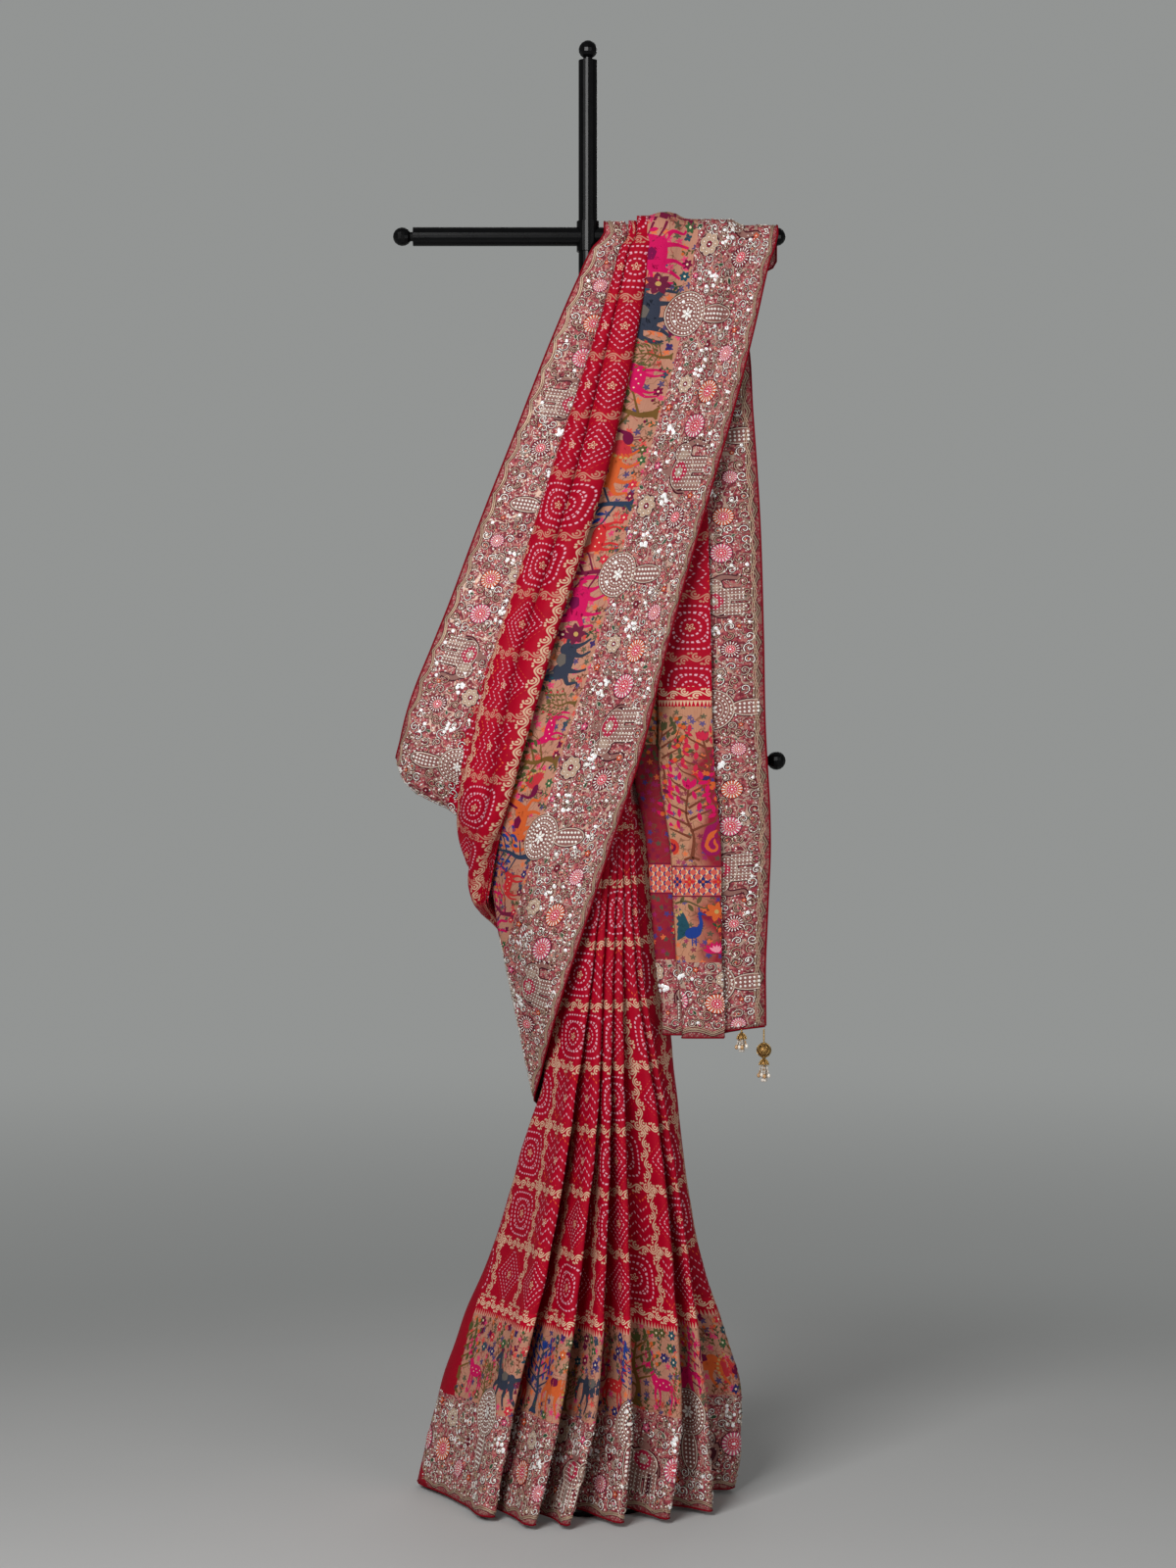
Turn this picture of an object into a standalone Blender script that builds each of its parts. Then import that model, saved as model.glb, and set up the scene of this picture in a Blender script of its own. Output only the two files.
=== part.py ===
"""Bandhani saree draped on a display stand.

Metres, +Z up, the front of the drape faces -Y, X=0 Y=0 is the post's axis and
Z=0 is the floor.  The saree is one continuous sheet: a grid of ribs.  Each rib
runs across the cloth, from its lower edge (column F) to its upper edge
(column A); the ribs follow one another along the cloth's length, through the
pleated skirt, round the back, up the front swath, over the upper arm and down
the hanging end piece.
"""
import bpy
import bmesh
import math
from mathutils import Vector

# ------------------------------------------------------------------ sizes
TUBE_R = 0.0125          # post and arms
ARM_UP_Z = 1.675         # axis of the upper cross arm
ARM_LO_Z = 0.980         # axis of the lower cross arm
POST_TOP = 1.9085
GAP = 0.0003             # between neighbouring pieces
BALL_R = 0.0124
NECK_R = 0.0062
BALL_OUT = 0.0140        # tube end to ball centre
ARM_LEFT_END = -0.2320   # upper arm's left tube end
ARM_RIGHT_END = 0.2355   # right tube ends
ARM_LO_LEFT_END = -0.2200
COLLAR_R = 0.0150
COLLAR_H = 0.040
BASE_R = 0.095
BASE_T = 0.006
SOCKET_R = 0.021
SOCKET_H = 0.030

CLOTH_W = 1.12           # width of the saree
CLOTH_T = 0.0012         # thickness of its solid
PIPE_W = 0.0040          # width of the piping
DRAPE_R = TUBE_R + 0.0026  # cloth's middle surface over a tube

# ------------------------------------------------------------- cloth columns
# name, distance from the lower edge measured on the cloth
COLUMNS = (
    ("F", 0.000), ("F2", 0.060), ("E", 0.130), ("A2", 0.195),
    ("T1a", 0.262), ("T1b", 0.268), ("Da", 0.325), ("Db", 0.333),
    ("Rm", 0.375), ("Ca", 0.415), ("Cb", 0.421), ("T2a", 0.480),
    ("T2b", 0.486), ("M0", 0.552), ("M1", 0.620), ("M2", 0.690), ("Ba", 0.760), ("Bb", 0.766),
    ("T3a", 0.890), ("T3b", 0.896), ("Bu", 1.035), ("Bm", 1.085), ("A", CLOTH_W),
)
NAMES = [c[0] for c in COLUMNS]
VS = [c[1] for c in COLUMNS]


# ------------------------------------------------------------------ helpers
def lerp(a, b, t):
    return tuple(p + (q - p) * t for p, q in zip(a, b))


def add(a, b, k=1.0):
    return tuple(p + q * k for p, q in zip(a, b))


def unit(a):
    m = math.sqrt(sum(p * p for p in a)) or 1.0
    return tuple(p / m for p in a)


def smooth(a, b, x):
    t = min(1.0, max(0.0, (x - a) / (b - a)))
    return t * t * (3 - 2 * t)


def curve(keys, rows, x):
    """Cubic through the rows (tuples) at the keys, with limited slopes."""
    n = len(keys)
    if x <= keys[0]:
        return tuple(rows[0])
    if x >= keys[-1]:
        return tuple(rows[-1])
    i = max(k for k in range(n - 1) if keys[k] <= x)
    h = keys[i + 1] - keys[i]
    t = (x - keys[i]) / h
    out = []
    for c in range(len(rows[0])):
        def slope(k):
            if k == 0 or k == n - 1:
                j = 0 if k == 0 else n - 2
                return (rows[j + 1][c] - rows[j][c]) / (keys[j + 1] - keys[j])
            a = (rows[k][c] - rows[k - 1][c]) / (keys[k] - keys[k - 1])
            b = (rows[k + 1][c] - rows[k][c]) / (keys[k + 1] - keys[k])
            wa, wb = keys[k + 1] - keys[k], keys[k] - keys[k - 1]
            m = (a * wa + b * wb) / (wa + wb)
            if a * b <= 0:
                return 0.0
            lim = 2.5 * min(abs(a), abs(b))
            return max(-lim, min(lim, m))
        p0, p1 = rows[i][c], rows[i + 1][c]
        m0, m1 = slope(i) * h, slope(i + 1) * h
        out.append(p0 * (2 * t ** 3 - 3 * t ** 2 + 1) + m0 * (t ** 3 - 2 * t ** 2 + t)
                   + p1 * (3 * t ** 2 - 2 * t ** 3) + m1 * (t ** 3 - t ** 2))
    return tuple(out)


# ------------------------------------------------------------------- skirt
HEM_Z = 0.0085
BASE_CLEAR = 0.0045      # how much higher the hem lies over the base plate
LEVELS = (0.0085, 0.140, 0.325, 0.520, 0.690, 0.960)
# The folds' tips in plan at the six levels (x, y), from the inner end to the
# right side.  kind: e end, c wide corner, f front fold, b hidden back fold.
# sag: how far the panel before the fold bows back.  top: how far its upper
# edge ends over the lower arm's axis, in front of arm and post.  The rows
# I0 and I1 are measured from L0, the skirt's left fold.
FOLDS = (
    # name kind   hem              0.14             0.325            0.52              0.69             waist            sag    top
    ("I0", "e", (0.103, 0.020), (0.076, 0.018), (0.052, 0.012), (0.028, 0.032), (0.005, 0.050), (-0.002, 0.034), 0.0, 0.050),
    ("I1", "c", (0.037, 0.032), (0.032, 0.028), (0.024, 0.022), (0.012, 0.024), (0.003, 0.024), (-0.004, 0.018), 0.0, 0.050),
    ("L0", "c", (-0.233, 0.080), (-0.201, 0.072), (-0.133, 0.050), (-0.074, 0.000), (-0.056, -0.045), (-0.060, -0.056), 0.0, 0.050),
    ("F1", "f", (-0.122, -0.127), (-0.098, -0.122), (-0.054, -0.113), (-0.0215, -0.106), (0.003, -0.099), (0.030, -0.0910), 0.0, 0.050),
    ("B1", "b", (-0.150, -0.036), (-0.122, -0.034), (-0.068, -0.036), (-0.036, -0.040), (-0.038, -0.048), (-0.047, -0.0547), 0.0, 0.050),
    ("F2", "f", (-0.068, -0.171), (-0.038, -0.162), (-0.011, -0.140), (0.011, -0.120), (0.018, -0.097), (0.036, -0.0844), 0.002, 0.050),
    ("B2", "b", (-0.096, -0.080), (-0.066, -0.076), (-0.034, -0.068), (-0.020, -0.050), (-0.032, -0.043), (-0.045, -0.0481), 0.0, 0.050),
    ("F3", "f", (-0.0245, -0.171), (0.0075, -0.161), (0.021, -0.138), (0.0275, -0.116), (0.032, -0.091), (0.041, -0.0778), 0.009, 0.050),
    ("B3", "b", (-0.044, -0.084), (-0.018, -0.078), (-0.001, -0.069), (-0.006, -0.050), (-0.027, -0.037), (-0.043, -0.0415), 0.0, 0.050),
    ("F4", "f", (0.044, -0.157), (0.054, -0.147), (0.052, -0.125), (0.0466, -0.105), (0.045, -0.084), (0.046, -0.0712), 0.007, 0.050),
    ("B4", "b", (0.004, -0.076), (0.016, -0.070), (0.024, -0.060), (0.010, -0.044), (-0.019, -0.031), (-0.041, -0.0349), 0.0, 0.050),
    ("F5", "f", (0.103, -0.137), (0.119, -0.128), (0.109, -0.107), (0.089, -0.091), (0.0635, -0.075), (0.051, -0.0646), 0.012, 0.050),
    ("B5", "b", (0.066, -0.060), (0.072, -0.055), (0.070, -0.046), (0.035, -0.036), (-0.007, -0.027), (-0.038, -0.0283), 0.0, 0.050),
    ("F6", "f", (0.160, -0.096), (0.153, -0.090), (0.131, -0.078), (0.102, -0.070), (0.0735, -0.063), (0.056, -0.0580), 0.012, 0.035),
    ("B6", "b", (0.122, 0.002), (0.122, 0.000), (0.100, -0.014), (0.060, -0.022), (0.012, -0.023), (-0.030, -0.0220), 0.0, 0.010),
    ("F7", "c", (0.196, 0.028), (0.205, 0.020), (0.148, 0.008), (0.107, -0.016), (0.082, -0.038), (0.060, -0.0420), 0.010, -0.030),
)
HALF_GAP = (0.0032, 0.0030, 0.0027, 0.0024, 0.0021, 0.0017)   # half a fold's opening, by level
# left fold's and right fold's true outline: height, x
LEFT_OUTLINE = ((0.0085, -0.233), (0.142, -0.201), (0.250, -0.163), (0.330, -0.130), (0.420, -0.103),
                (0.475, -0.088), (0.545, -0.064), (0.690, -0.056), (0.960, -0.060))
RIGHT_OUTLINE = ((0.0085, 0.196), (0.060, 0.203), (0.120, 0.204), (0.210, 0.185), (0.260, 0.168),
                 (0.325, 0.148), (0.450, 0.122), (0.530, 0.105), (0.680, 0.083), (0.810, 0.071), (0.960, 0.058))
PANEL_MIDS = (0.34, 0.67)


def hem_height(x, y):
    r = math.hypot(x, y)
    return HEM_Z + BASE_CLEAR * (1 - smooth(0.102, 0.114, r))


def fold_tip(row, z):
    p = curve(LEVELS, row[2:8], z)
    if row[0] in ("I0", "I1"):
        return add(fold_tip(FOLDS[2], z), p)
    if row[0] == "L0":
        p = (curve([r[0] for r in LEFT_OUTLINE], [(r[1],) for r in LEFT_OUTLINE], z)[0], p[1])
    if row[0] == "F7":
        p = (curve([r[0] for r in RIGHT_OUTLINE], [(r[1],) for r in RIGHT_OUTLINE], z)[0], p[1])
    return p


def skirt_section(z):
    """Plan section of the skirt at height z: list of (x, y, over)."""
    tips = [fold_tip(r, z) for r in FOLDS]
    hg = curve(LEVELS, [(h,) for h in HALF_GAP], z)[0]
    pairs = []
    for k, row in enumerate(FOLDS):
        p, kind, over = tips[k], row[1], row[9]
        if kind == "e":
            pairs.append([(p, over)])
            continue
        d1 = unit(add(p, tips[k - 1], -1)) if k else None
        d2 = unit(add(tips[k + 1], p, -1)) if k + 1 < len(FOLDS) else unit((0.10, 1.0))
        if kind == "c":
            c = 0.010 if row[0] == "F7" else 0.007
            if row[0] == "F7":
                pairs.append([(add(p, d1, -c), over), (add(p, d2, c), over)])
            else:
                pairs.append([(add(p, d1, -c), over), (add(p, d2, c), over)])
            continue
        o = unit(add(d1, d2, -1))
        s = (-o[1], o[0]) if kind == "f" else (o[1], -o[0])
        tip = add(p, o, -0.4 * hg)
        pairs.append([(add(tip, s, -hg), over), (add(tip, s, hg), over)])
    out = []
    for k, pr in enumerate(pairs):
        if k:
            a, b = pairs[k - 1][-1], pr[0]
            kind, sag = FOLDS[k][1], FOLDS[k][8]
            mids = PANEL_MIDS if kind == "f" or FOLDS[k][0] == "F7" else (0.5,)
            d = unit(add(b[0], a[0], -1))
            n = (-d[1], d[0])
            for m in mids:
                q = lerp(a[0], b[0], m)
                q = add(q, n, sag * 4 * m * (1 - m) * (1 - smooth(0.25, 0.60, z)))
                out.append((q[0], q[1], a[1] + (b[1] - a[1]) * m))
        for p, over in pr:
            out.append((p[0], p[1], over))
    return out


def skirt_ribs():
    """Ribs of the pleated skirt: one list of 3-D points per rib."""
    count = len(skirt_section(0.3))
    base = skirt_section(HEM_Z)
    zs_by_col = []
    ribs = [[] for _ in range(count)]
    for r in range(count):
        over = base[r][2]
        z0 = hem_height(base[r][0], base[r][1])
        top = ARM_LO_Z + over
        for v in VS:
            s = z0 + v * 0.975
            if v > 0.89:
                s9 = z0 + 0.89 * 0.975
                s = s9 + (top - s9) * (v - 0.89) / (CLOTH_W - 0.89)
            zc = min(s, LEVELS[-1])
            sec = skirt_section(zc)[r]
            x, y = sec[0], sec[1]
            ribs[r].append((x, y, s))
    return ribs


# --------------------------------------------------- front swath and the back
# The swath's six visible lines, front view (x, z), at tenths of their length
# from the upper arm to the place where the cloth turns to the back.
SWATH = {
    "A": ((0.0225, 1.686), (-0.012, 1.616), (-0.042, 1.547), (-0.070, 1.477), (-0.097, 1.407), (-0.125, 1.337),
          (-0.152, 1.267), (-0.178, 1.197), (-0.206, 1.127), (-0.234, 1.057), (-0.2545, 0.983)),
    "B": ((0.054, 1.691), (0.031, 1.612), (0.007, 1.532), (-0.018, 1.454), (-0.043, 1.376), (-0.068, 1.297),
          (-0.093, 1.219), (-0.118, 1.142), (-0.140, 1.063), (-0.156, 0.983), (-0.165, 0.901)),
    "C": ((0.065, 1.693), (0.044, 1.605), (0.023, 1.516), (0.002, 1.428), (-0.021, 1.340), (-0.046, 1.253),
          (-0.074, 1.168), (-0.098, 1.082), (-0.116, 0.994), (-0.131, 0.908), (-0.140, 0.830)),
    "D": ((0.088, 1.696), (0.075, 1.605), (0.060, 1.514), (0.041, 1.424), (0.019, 1.335), (-0.008, 1.249),
          (-0.035, 1.162), (-0.060, 1.076), (-0.085, 0.989), (-0.108, 0.900), (-0.127, 0.790)),
    "E": ((0.145, 1.691), (0.132, 1.590), (0.110, 1.489), (0.083, 1.393), (0.056, 1.296), (0.030, 1.198),
          (0.003, 1.101), (-0.027, 1.008), (-0.056, 0.914), (-0.082, 0.820), (-0.111, 0.723)),
    "F": ((0.2500, 1.688), (0.223, 1.570), (0.194, 1.453), (0.161, 1.337), (0.128, 1.222), (0.097, 1.107),
          (0.069, 0.992), (0.033, 0.882), (-0.003, 0.772), (-0.039, 0.660), (-0.0715, 0.532)),
}
TENTHS = [k / 10 for k in range(11)]
DEPTH_AT = (0.0, 0.25, 0.50, 0.75, 0.90, 1.0)
# depth y of the same lines, at those fractions of their length
DEPTH = {
    "A": (-0.0151, -0.022, -0.026, -0.026, -0.024, 0.000),
    "B": (-0.0151, -0.027, -0.036, -0.044, -0.042, 0.002),
    "C": (-0.0151, -0.032, -0.046, -0.058, -0.052, 0.000),
    "D": (-0.0151, -0.034, -0.060, -0.082, -0.064, -0.002),
    "E": (-0.0151, -0.038, -0.074, -0.107, -0.085, -0.004),
    "F": (-0.0151, -0.042, -0.088, -0.116, -0.095, 0.000),
}
# The back, from the skirt's right side to the turn at the left: the lines'
# points (x, y, z), and how far the folds are gathered (0 flat, 1 as in front).
BACK = (
    # name  F                      E                      D                      C                      B                       A                       gather, turn of the outward side
    ("K0", (0.188, 0.066, 0.0085), (0.179, 0.062, 0.137), (0.148, 0.044, 0.325), (0.133, 0.036, 0.410), (0.090, 0.004, 0.780), (0.080, -0.004, 0.945), 0.00, 0.75),
    ("K1", (0.128, 0.124, 0.095), (0.122, 0.116, 0.220), (0.104, 0.094, 0.400), (0.096, 0.086, 0.475), (0.066, 0.044, 0.820), (0.060, 0.044, 0.965), 0.12, 0.35),
    ("K2", (0.040, 0.146, 0.275), (0.038, 0.138, 0.390), (0.030, 0.116, 0.545), (0.026, 0.110, 0.600), (-0.004, 0.066, 0.865), (-0.020, 0.052, 0.985), 0.45, 0.0),
    ("K3", (-0.035, 0.110, 0.430), (-0.042, 0.104, 0.535), (-0.054, 0.090, 0.655), (-0.064, 0.084, 0.695), (-0.094, 0.056, 0.880), (-0.138, 0.036, 0.988), 0.80, -0.35),
    ("K4", (-0.062, 0.060, 0.510), (-0.090, 0.055, 0.665), (-0.108, 0.048, 0.752), (-0.120, 0.044, 0.792), (-0.148, 0.030, 0.898), (-0.236, 0.0165, 0.985), 0.95, -0.8),
    ("K5", (-0.069, 0.028, 0.524), (-0.104, 0.026, 0.700), (-0.120, 0.024, 0.772), (-0.134, 0.022, 0.814), (-0.160, 0.016, 0.900), (-0.2496, 0.0117, 0.984), 1.0, -2.5),
)
LAYER = 0.0043           # between the layers of the gathered folds
HIDDEN = (0.75, 0.78, 0.80)   # how far folds T1, T2 and T3 reach under the ridges
CROWN = 0.003
CORNER = (-0.0243, 0.0, 0.002)   # how far the border stands out round the lower arm's end


def layered(a, n, g):
    """One rib of gathered cloth from its six lines: two raised folds."""
    F, E, D, C, B, A = (a[k] for k in "FEDCBA")
    k = a.get("corner", 0.0)
    Bm = add(lerp(B, A, 0.6), CORNER, k)
    Bm = add(Bm, (0.0, -0.009, 0.0), a.get("front", 0.0) * smooth(0.2, 0.6, k) * (1 - smooth(0.95, 1.0, k)))
    T1, T2, T3 = lerp(D, C, HIDDEN[0]), lerp(C, D, HIDDEN[1]), lerp(B, C, HIDDEN[2])
    return [
        F, lerp(F, E, 0.46), E, lerp(E, D, 0.5),
        T1, add(T1, n, 0.7 * g), add(D, n, 1.3 * g), add(D, n, 4 * g),
        add(lerp(D, C, 0.5), n, 4 * g + CROWN), add(C, n, 4 * g), add(C, n, 3.3 * g),
        add(T2, n, 2.7 * g), add(T2, n, 2 * g), add(lerp(T2, C, 0.9), n, 2 * g),
        add(lerp(C, B, 0.28), n, 2 * g + CROWN), add(lerp(C, B, 0.68), n, 2 * g + CROWN),
        add(B, n, 2 * g), add(B, n, 1.3 * g), add(T3, n, 0.7 * g), T3, lerp(B, A, 0.03), Bm, A,
    ]


FLAT_V = (0.0, 0.130, 0.325, 0.415, 0.763, CLOTH_W)


def flat(a, n):
    """The same rib with its folds let out."""
    pts = [a[k] for k in "FEDCBA"]
    out = []
    for v in VS:
        i = max(k for k in range(5) if FLAT_V[k] <= v + 1e-9)
        out.append(lerp(pts[i], pts[i + 1], (v - FLAT_V[i]) / (FLAT_V[i + 1] - FLAT_V[i])))
    return out


def swath_anchor(f):
    out = {}
    for k in "FEDCBA":
        x, z = curve(TENTHS, SWATH[k], f)
        y = curve(DEPTH_AT, [(d,) for d in DEPTH[k]], f)[0]
        out[k] = (x, y, z)
    out["corner"] = smooth(0.85, 1.0, f)
    out["front"] = 1.0
    return out


BACK_AT = (0.0, 0.5, 1.0, 1.35, 1.65, 2.0, 2.5, 3.0, 3.5, 4.0, 5.0)


def back_anchor(x):
    keys = list(range(len(BACK)))
    a = {k: curve(keys, [r[1 + c] for r in BACK], x) for c, k in enumerate("FEDCBA")}
    g = curve(keys, [(r[7],) for r in BACK], x)[0]
    turn = curve(keys, [(r[8],) for r in BACK], x)[0]
    a["corner"] = g ** 3
    return a, g, unit((turn, 1.0, 0.0))


def back_ribs():
    out = []
    for x in BACK_AT:
        a, g, n = back_anchor(x)
        lay0 = layered(a, n, 0.0)
        lay1 = layered(a, n, LAYER * min(1.0, g / 0.30))
        out.append([add(lerp(p, q, g), add(r, q, -1)) for p, q, r in zip(flat(a, n), lay0, lay1)])
    return out


SWATH_AT = (1.0, 0.975, 0.95, 0.925, 0.90, 0.87, 0.80, 0.70, 0.60, 0.50, 0.40, 0.30, 0.20, 0.10, 0.04)


def swath_ribs():
    out = []
    for f in SWATH_AT:
        a = swath_anchor(f)
        turn = smooth(0.86, 1.0, f)
        n = unit((-turn, -(1 - turn), 0.0))
        g = LAYER * (0.75 + 0.25 * smooth(0.0, 0.3, f))
        out.append(layered(a, n, g))
    return out


ARM_ANGLES = (0, 60, 120, 180)


def arm_ribs():
    """Over the upper arm: each layer on its own radius."""
    a = {k: (v[0][0], 0.0, 0.0) for k, v in SWATH.items()}
    sec = layered(a, (0.0, 1.0, 0.0), LAYER * 0.75)
    out = []
    for deg in ARM_ANGLES:
        t = math.radians(deg)
        out.append([(p[0], -(DRAPE_R + p[1]) * math.cos(t), ARM_UP_Z + (DRAPE_R + p[1]) * math.sin(t)) for p in sec])
    return out


# ------------------------------------------------------------ hanging end
# Its plan section, folded lengthwise once: across (0 left crease, 1 right
# edge) and depth behind the front (metres).
END_SECTION = (
    # column  across  depth
    ("F", 0.93, 0.013), ("F2", 0.83, 0.017), ("E", 0.72, 0.013), ("A2", 0.63, 0.012),
    ("T1a", 0.53, 0.018), ("T1b", 0.50, 0.018), ("Da", 0.31, 0.013), ("Db", 0.28, 0.013),
    ("Rm", 0.12, 0.016), ("Ca", 0.005, 0.006), ("Cb", 0.00, -0.001), ("T2a", 0.10, -0.010),
    ("T2b", 0.13, -0.010), ("M0", 0.19, -0.003), ("M1", 0.25, 0.004), ("M2", 0.32, -0.004), ("Ba", 0.40, -0.013), ("Bb", 0.45, -0.013),
    ("T3a", 0.545, 0.004), ("T3b", 0.58, 0.000), ("Bu", 0.66, -0.011), ("Bm", 0.86, -0.008), ("A", 1.00, 0.000),
)
# height, left crease x, right edge x, depth y of its front, fold depth factor
END_LEVELS = (
    (1.540, 0.045, 0.2100, 0.002, 0.55), (1.440, 0.050, 0.2175, -0.006, 0.75), (1.300, 0.055, 0.2260, -0.017, 0.9),
    (1.150, 0.058, 0.2300, -0.029, 1.0), (1.010, 0.060, 0.2325, -0.039, 1.0), (0.950, 0.062, 0.2360, -0.040, 1.0),
    (0.920, 0.068, 0.2375, -0.041, 1.0),
    (0.870, 0.077, 0.2385, -0.041, 1.0), (0.780, 0.084, 0.2350, -0.040, 1.0), (0.700, 0.091, 0.2320, -0.040, 1.0),
    (0.645, 0.098, 0.2325, -0.040, 1.0),
)
END_HEM = {"right": 0.6315, "fold": 0.6175, "left": 0.6210}
# Just below the arm the cloth's upper border turns over to the right, in
# front of the rest: height, share of the way sideways and in depth, plan (x, y)
# of T3b, Bu, Bm, A.
TURN_OVER = (
    (1.645, 0.00, 0.00, None),
    (1.620, 0.40, 0.08, ((0.073, 0.0095), (0.062, 0.006), (0.050, -0.002), (0.045, -0.008))),
    (1.595, 0.72, 0.42, ((0.099, 0.0035), (0.088, -0.002), (0.100, -0.010), (0.110, -0.012))),
    (1.567, 0.93, 0.78, ((0.124, 0.0015), (0.130, -0.006), (0.157, -0.008), (0.176, -0.007))),
)


def end_ribs(rear):
    out = []
    keys = [-r[0] for r in END_LEVELS]

    def section(z):
        xl, xr, y0, k = curve(keys, [r[1:] for r in END_LEVELS], -z)
        return [(xl + (xr - xl) * c[1], y0 + c[2] * k, z) for c in END_SECTION]

    # just below the arm: part way from the arm's section to the folded one
    goal = section(1.540)
    for z, t, d, border in TURN_OVER:
        rib = []
        for name, p, q in zip(NAMES, rear, goal):
            ahead = 0.0 if NAMES.index(name) < NAMES.index("Cb") else -0.005 * 4 * d * (1 - d)
            rib.append((p[0] + (q[0] - p[0]) * t, p[1] + (q[1] - p[1]) * d + ahead, z))
        if border:
            rib[-4:] = [(x, y, z) for x, y in border]
        out.append(rib)
    for r in END_LEVELS:
        out.append(section(r[0]))
    last = []
    for c, p in zip(END_SECTION, section(0.645)):
        z = END_HEM["left"] + (END_HEM["right"] - END_HEM["left"]) * smooth(0.5, 0.66, c[1])
        if c[0] in ("T2a", "T2b", "M0", "M1", "M2", "Ba", "Bb"):
            z = END_HEM["fold"]
        last.append((p[0], p[1], z))
    out.append(last)
    return out


def all_ribs():
    ribs = skirt_ribs() + back_ribs() + swath_ribs()
    arm = arm_ribs()
    return ribs + arm + end_ribs(arm[-1])


SKIRT_RIBS = len(skirt_section(0.3))


def edge_strip(ribs, edge, gap, width):
    """Two lines beside an edge of the grid, in the cloth's own surface."""
    out = []
    i, j = (0, 1) if edge == "lower" else (-1, -2)
    for k, r in enumerate(ribs):
        p, q = r[i], r[j]
        t = unit(add(ribs[min(k + 1, len(ribs) - 1)][i], ribs[max(k - 1, 0)][i], -1))
        d = add(p, q, -1)
        if k < SKIRT_RIBS - 1:
            d = unit(d)
        else:
            d = unit(add(d, t, -sum(a * b for a, b in zip(d, t))))
        out.append([add(p, d, gap), add(p, d, gap + width)])
    return out


# ---------------------------------------------------------------- building
for ob in list(bpy.data.objects):
    bpy.data.objects.remove(ob, do_unlink=True)

saree_set = bpy.data.collections.new("bandhani_saree_on_stand")
bpy.context.scene.collection.children.link(saree_set)
cutters = bpy.data.collections.new("cutters")
bpy.context.scene.collection.children.link(cutters)


def material(name, color, rough, metal=0.0):
    m = bpy.data.materials.new(name)
    m.use_nodes = True
    b = m.node_tree.nodes["Principled BSDF"]
    b.inputs["Base Color"].default_value = (*color, 1.0)
    b.inputs["Roughness"].default_value = rough
    b.inputs["Metallic"].default_value = metal
    return m


M_CLOTH = material("bandhani_silk", (0.43, 0.008, 0.025), 0.55)
M_PIPE = material("piping_satin", (0.30, 0.004, 0.015), 0.45)
M_STAND = material("stand_gloss_black", (0.006, 0.006, 0.007), 0.18)
M_TASSEL = material("tassel_gold_and_bead", (0.60, 0.42, 0.18), 0.35, 0.8)


def place(ob, mat, where=None):
    """Put an object in the saree's collection with its material."""
    for c in list(ob.users_collection):
        c.objects.unlink(ob)
    (where or saree_set).objects.link(ob)
    ob.data.materials.clear()
    ob.data.materials.append(mat)
    return ob


def sheet(name, ribs, mat, thickness):
    """An open lofted surface through the ribs, with Solidify."""
    bm = bmesh.new()
    rows = [[bm.verts.new(p) for p in r] for r in ribs]
    for r0, r1 in zip(rows, rows[1:]):
        for j in range(len(r0) - 1):
            a, b, c, d = r0[j], r1[j], r1[j + 1], r0[j + 1]
            # every quad is split along its diagonal that leans the same way,
            # so that layers which lie close together stay parallel
            e, f = c.co - a.co, d.co - b.co
            if e.x * e.z >= f.x * f.z:
                bm.faces.new((a, b, c))
                bm.faces.new((a, c, d))
            else:
                bm.faces.new((a, b, d))
                bm.faces.new((b, c, d))
    me = bpy.data.meshes.new(name)
    bm.to_mesh(me)
    bm.free()
    ob = place(bpy.data.objects.new(name, me), mat)
    mod = ob.modifiers.new("thickness", "SOLIDIFY")
    mod.thickness = thickness
    mod.offset = 0.0
    return ob


RIBS = all_ribs()
saree = sheet("saree", RIBS, M_CLOTH, CLOTH_T)
lower = edge_strip(RIBS, "lower", GAP, PIPE_W)
upper = edge_strip(RIBS, "upper", GAP, PIPE_W)
piping_lower = sheet("piping_lower", lower, M_PIPE, CLOTH_T)
piping_upper = sheet("piping_upper", upper, M_PIPE, CLOTH_T)
end = []
for p, q in zip(RIBS[-1], RIBS[-2]):
    end.append([add(p, (0, 0, -1), GAP), add(p, (0, 0, -1), GAP + PIPE_W)])
piping_end = sheet("piping_end", end, M_PIPE, CLOTH_T)


def turned(name, profile, mat, loc, rot=(0, 0, 0), steps=16):
    """A turned solid: profile (radius, height) from top to bottom."""
    me = bpy.data.meshes.new(name)
    me.from_pydata([(r, 0.0, z) for r, z in profile], [(i, i + 1) for i in range(len(profile) - 1)], [])
    ob = place(bpy.data.objects.new(name, me), mat)
    mod = ob.modifiers.new("turn", "SCREW")
    mod.steps = steps
    mod.render_steps = steps
    mod.use_merge_vertices = True
    mod.merge_threshold = 0.00005
    mod.use_smooth_shade = True
    ob.location = loc
    ob.rotation_euler = rot
    return ob


def ball_profile(n=7):
    """Neck and ball, standing on z=0, listed from the top down."""
    start = math.asin(NECK_R / BALL_R)
    pts = [(0.0, BALL_OUT + BALL_R)]
    for k in range(1, n + 1):
        a = (math.pi - start) * k / n
        pts.append((BALL_R * math.sin(a), BALL_OUT + BALL_R * math.cos(a)))
    pts.append((NECK_R, 0.0))
    pts.append((0.0, 0.0))
    return pts


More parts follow.
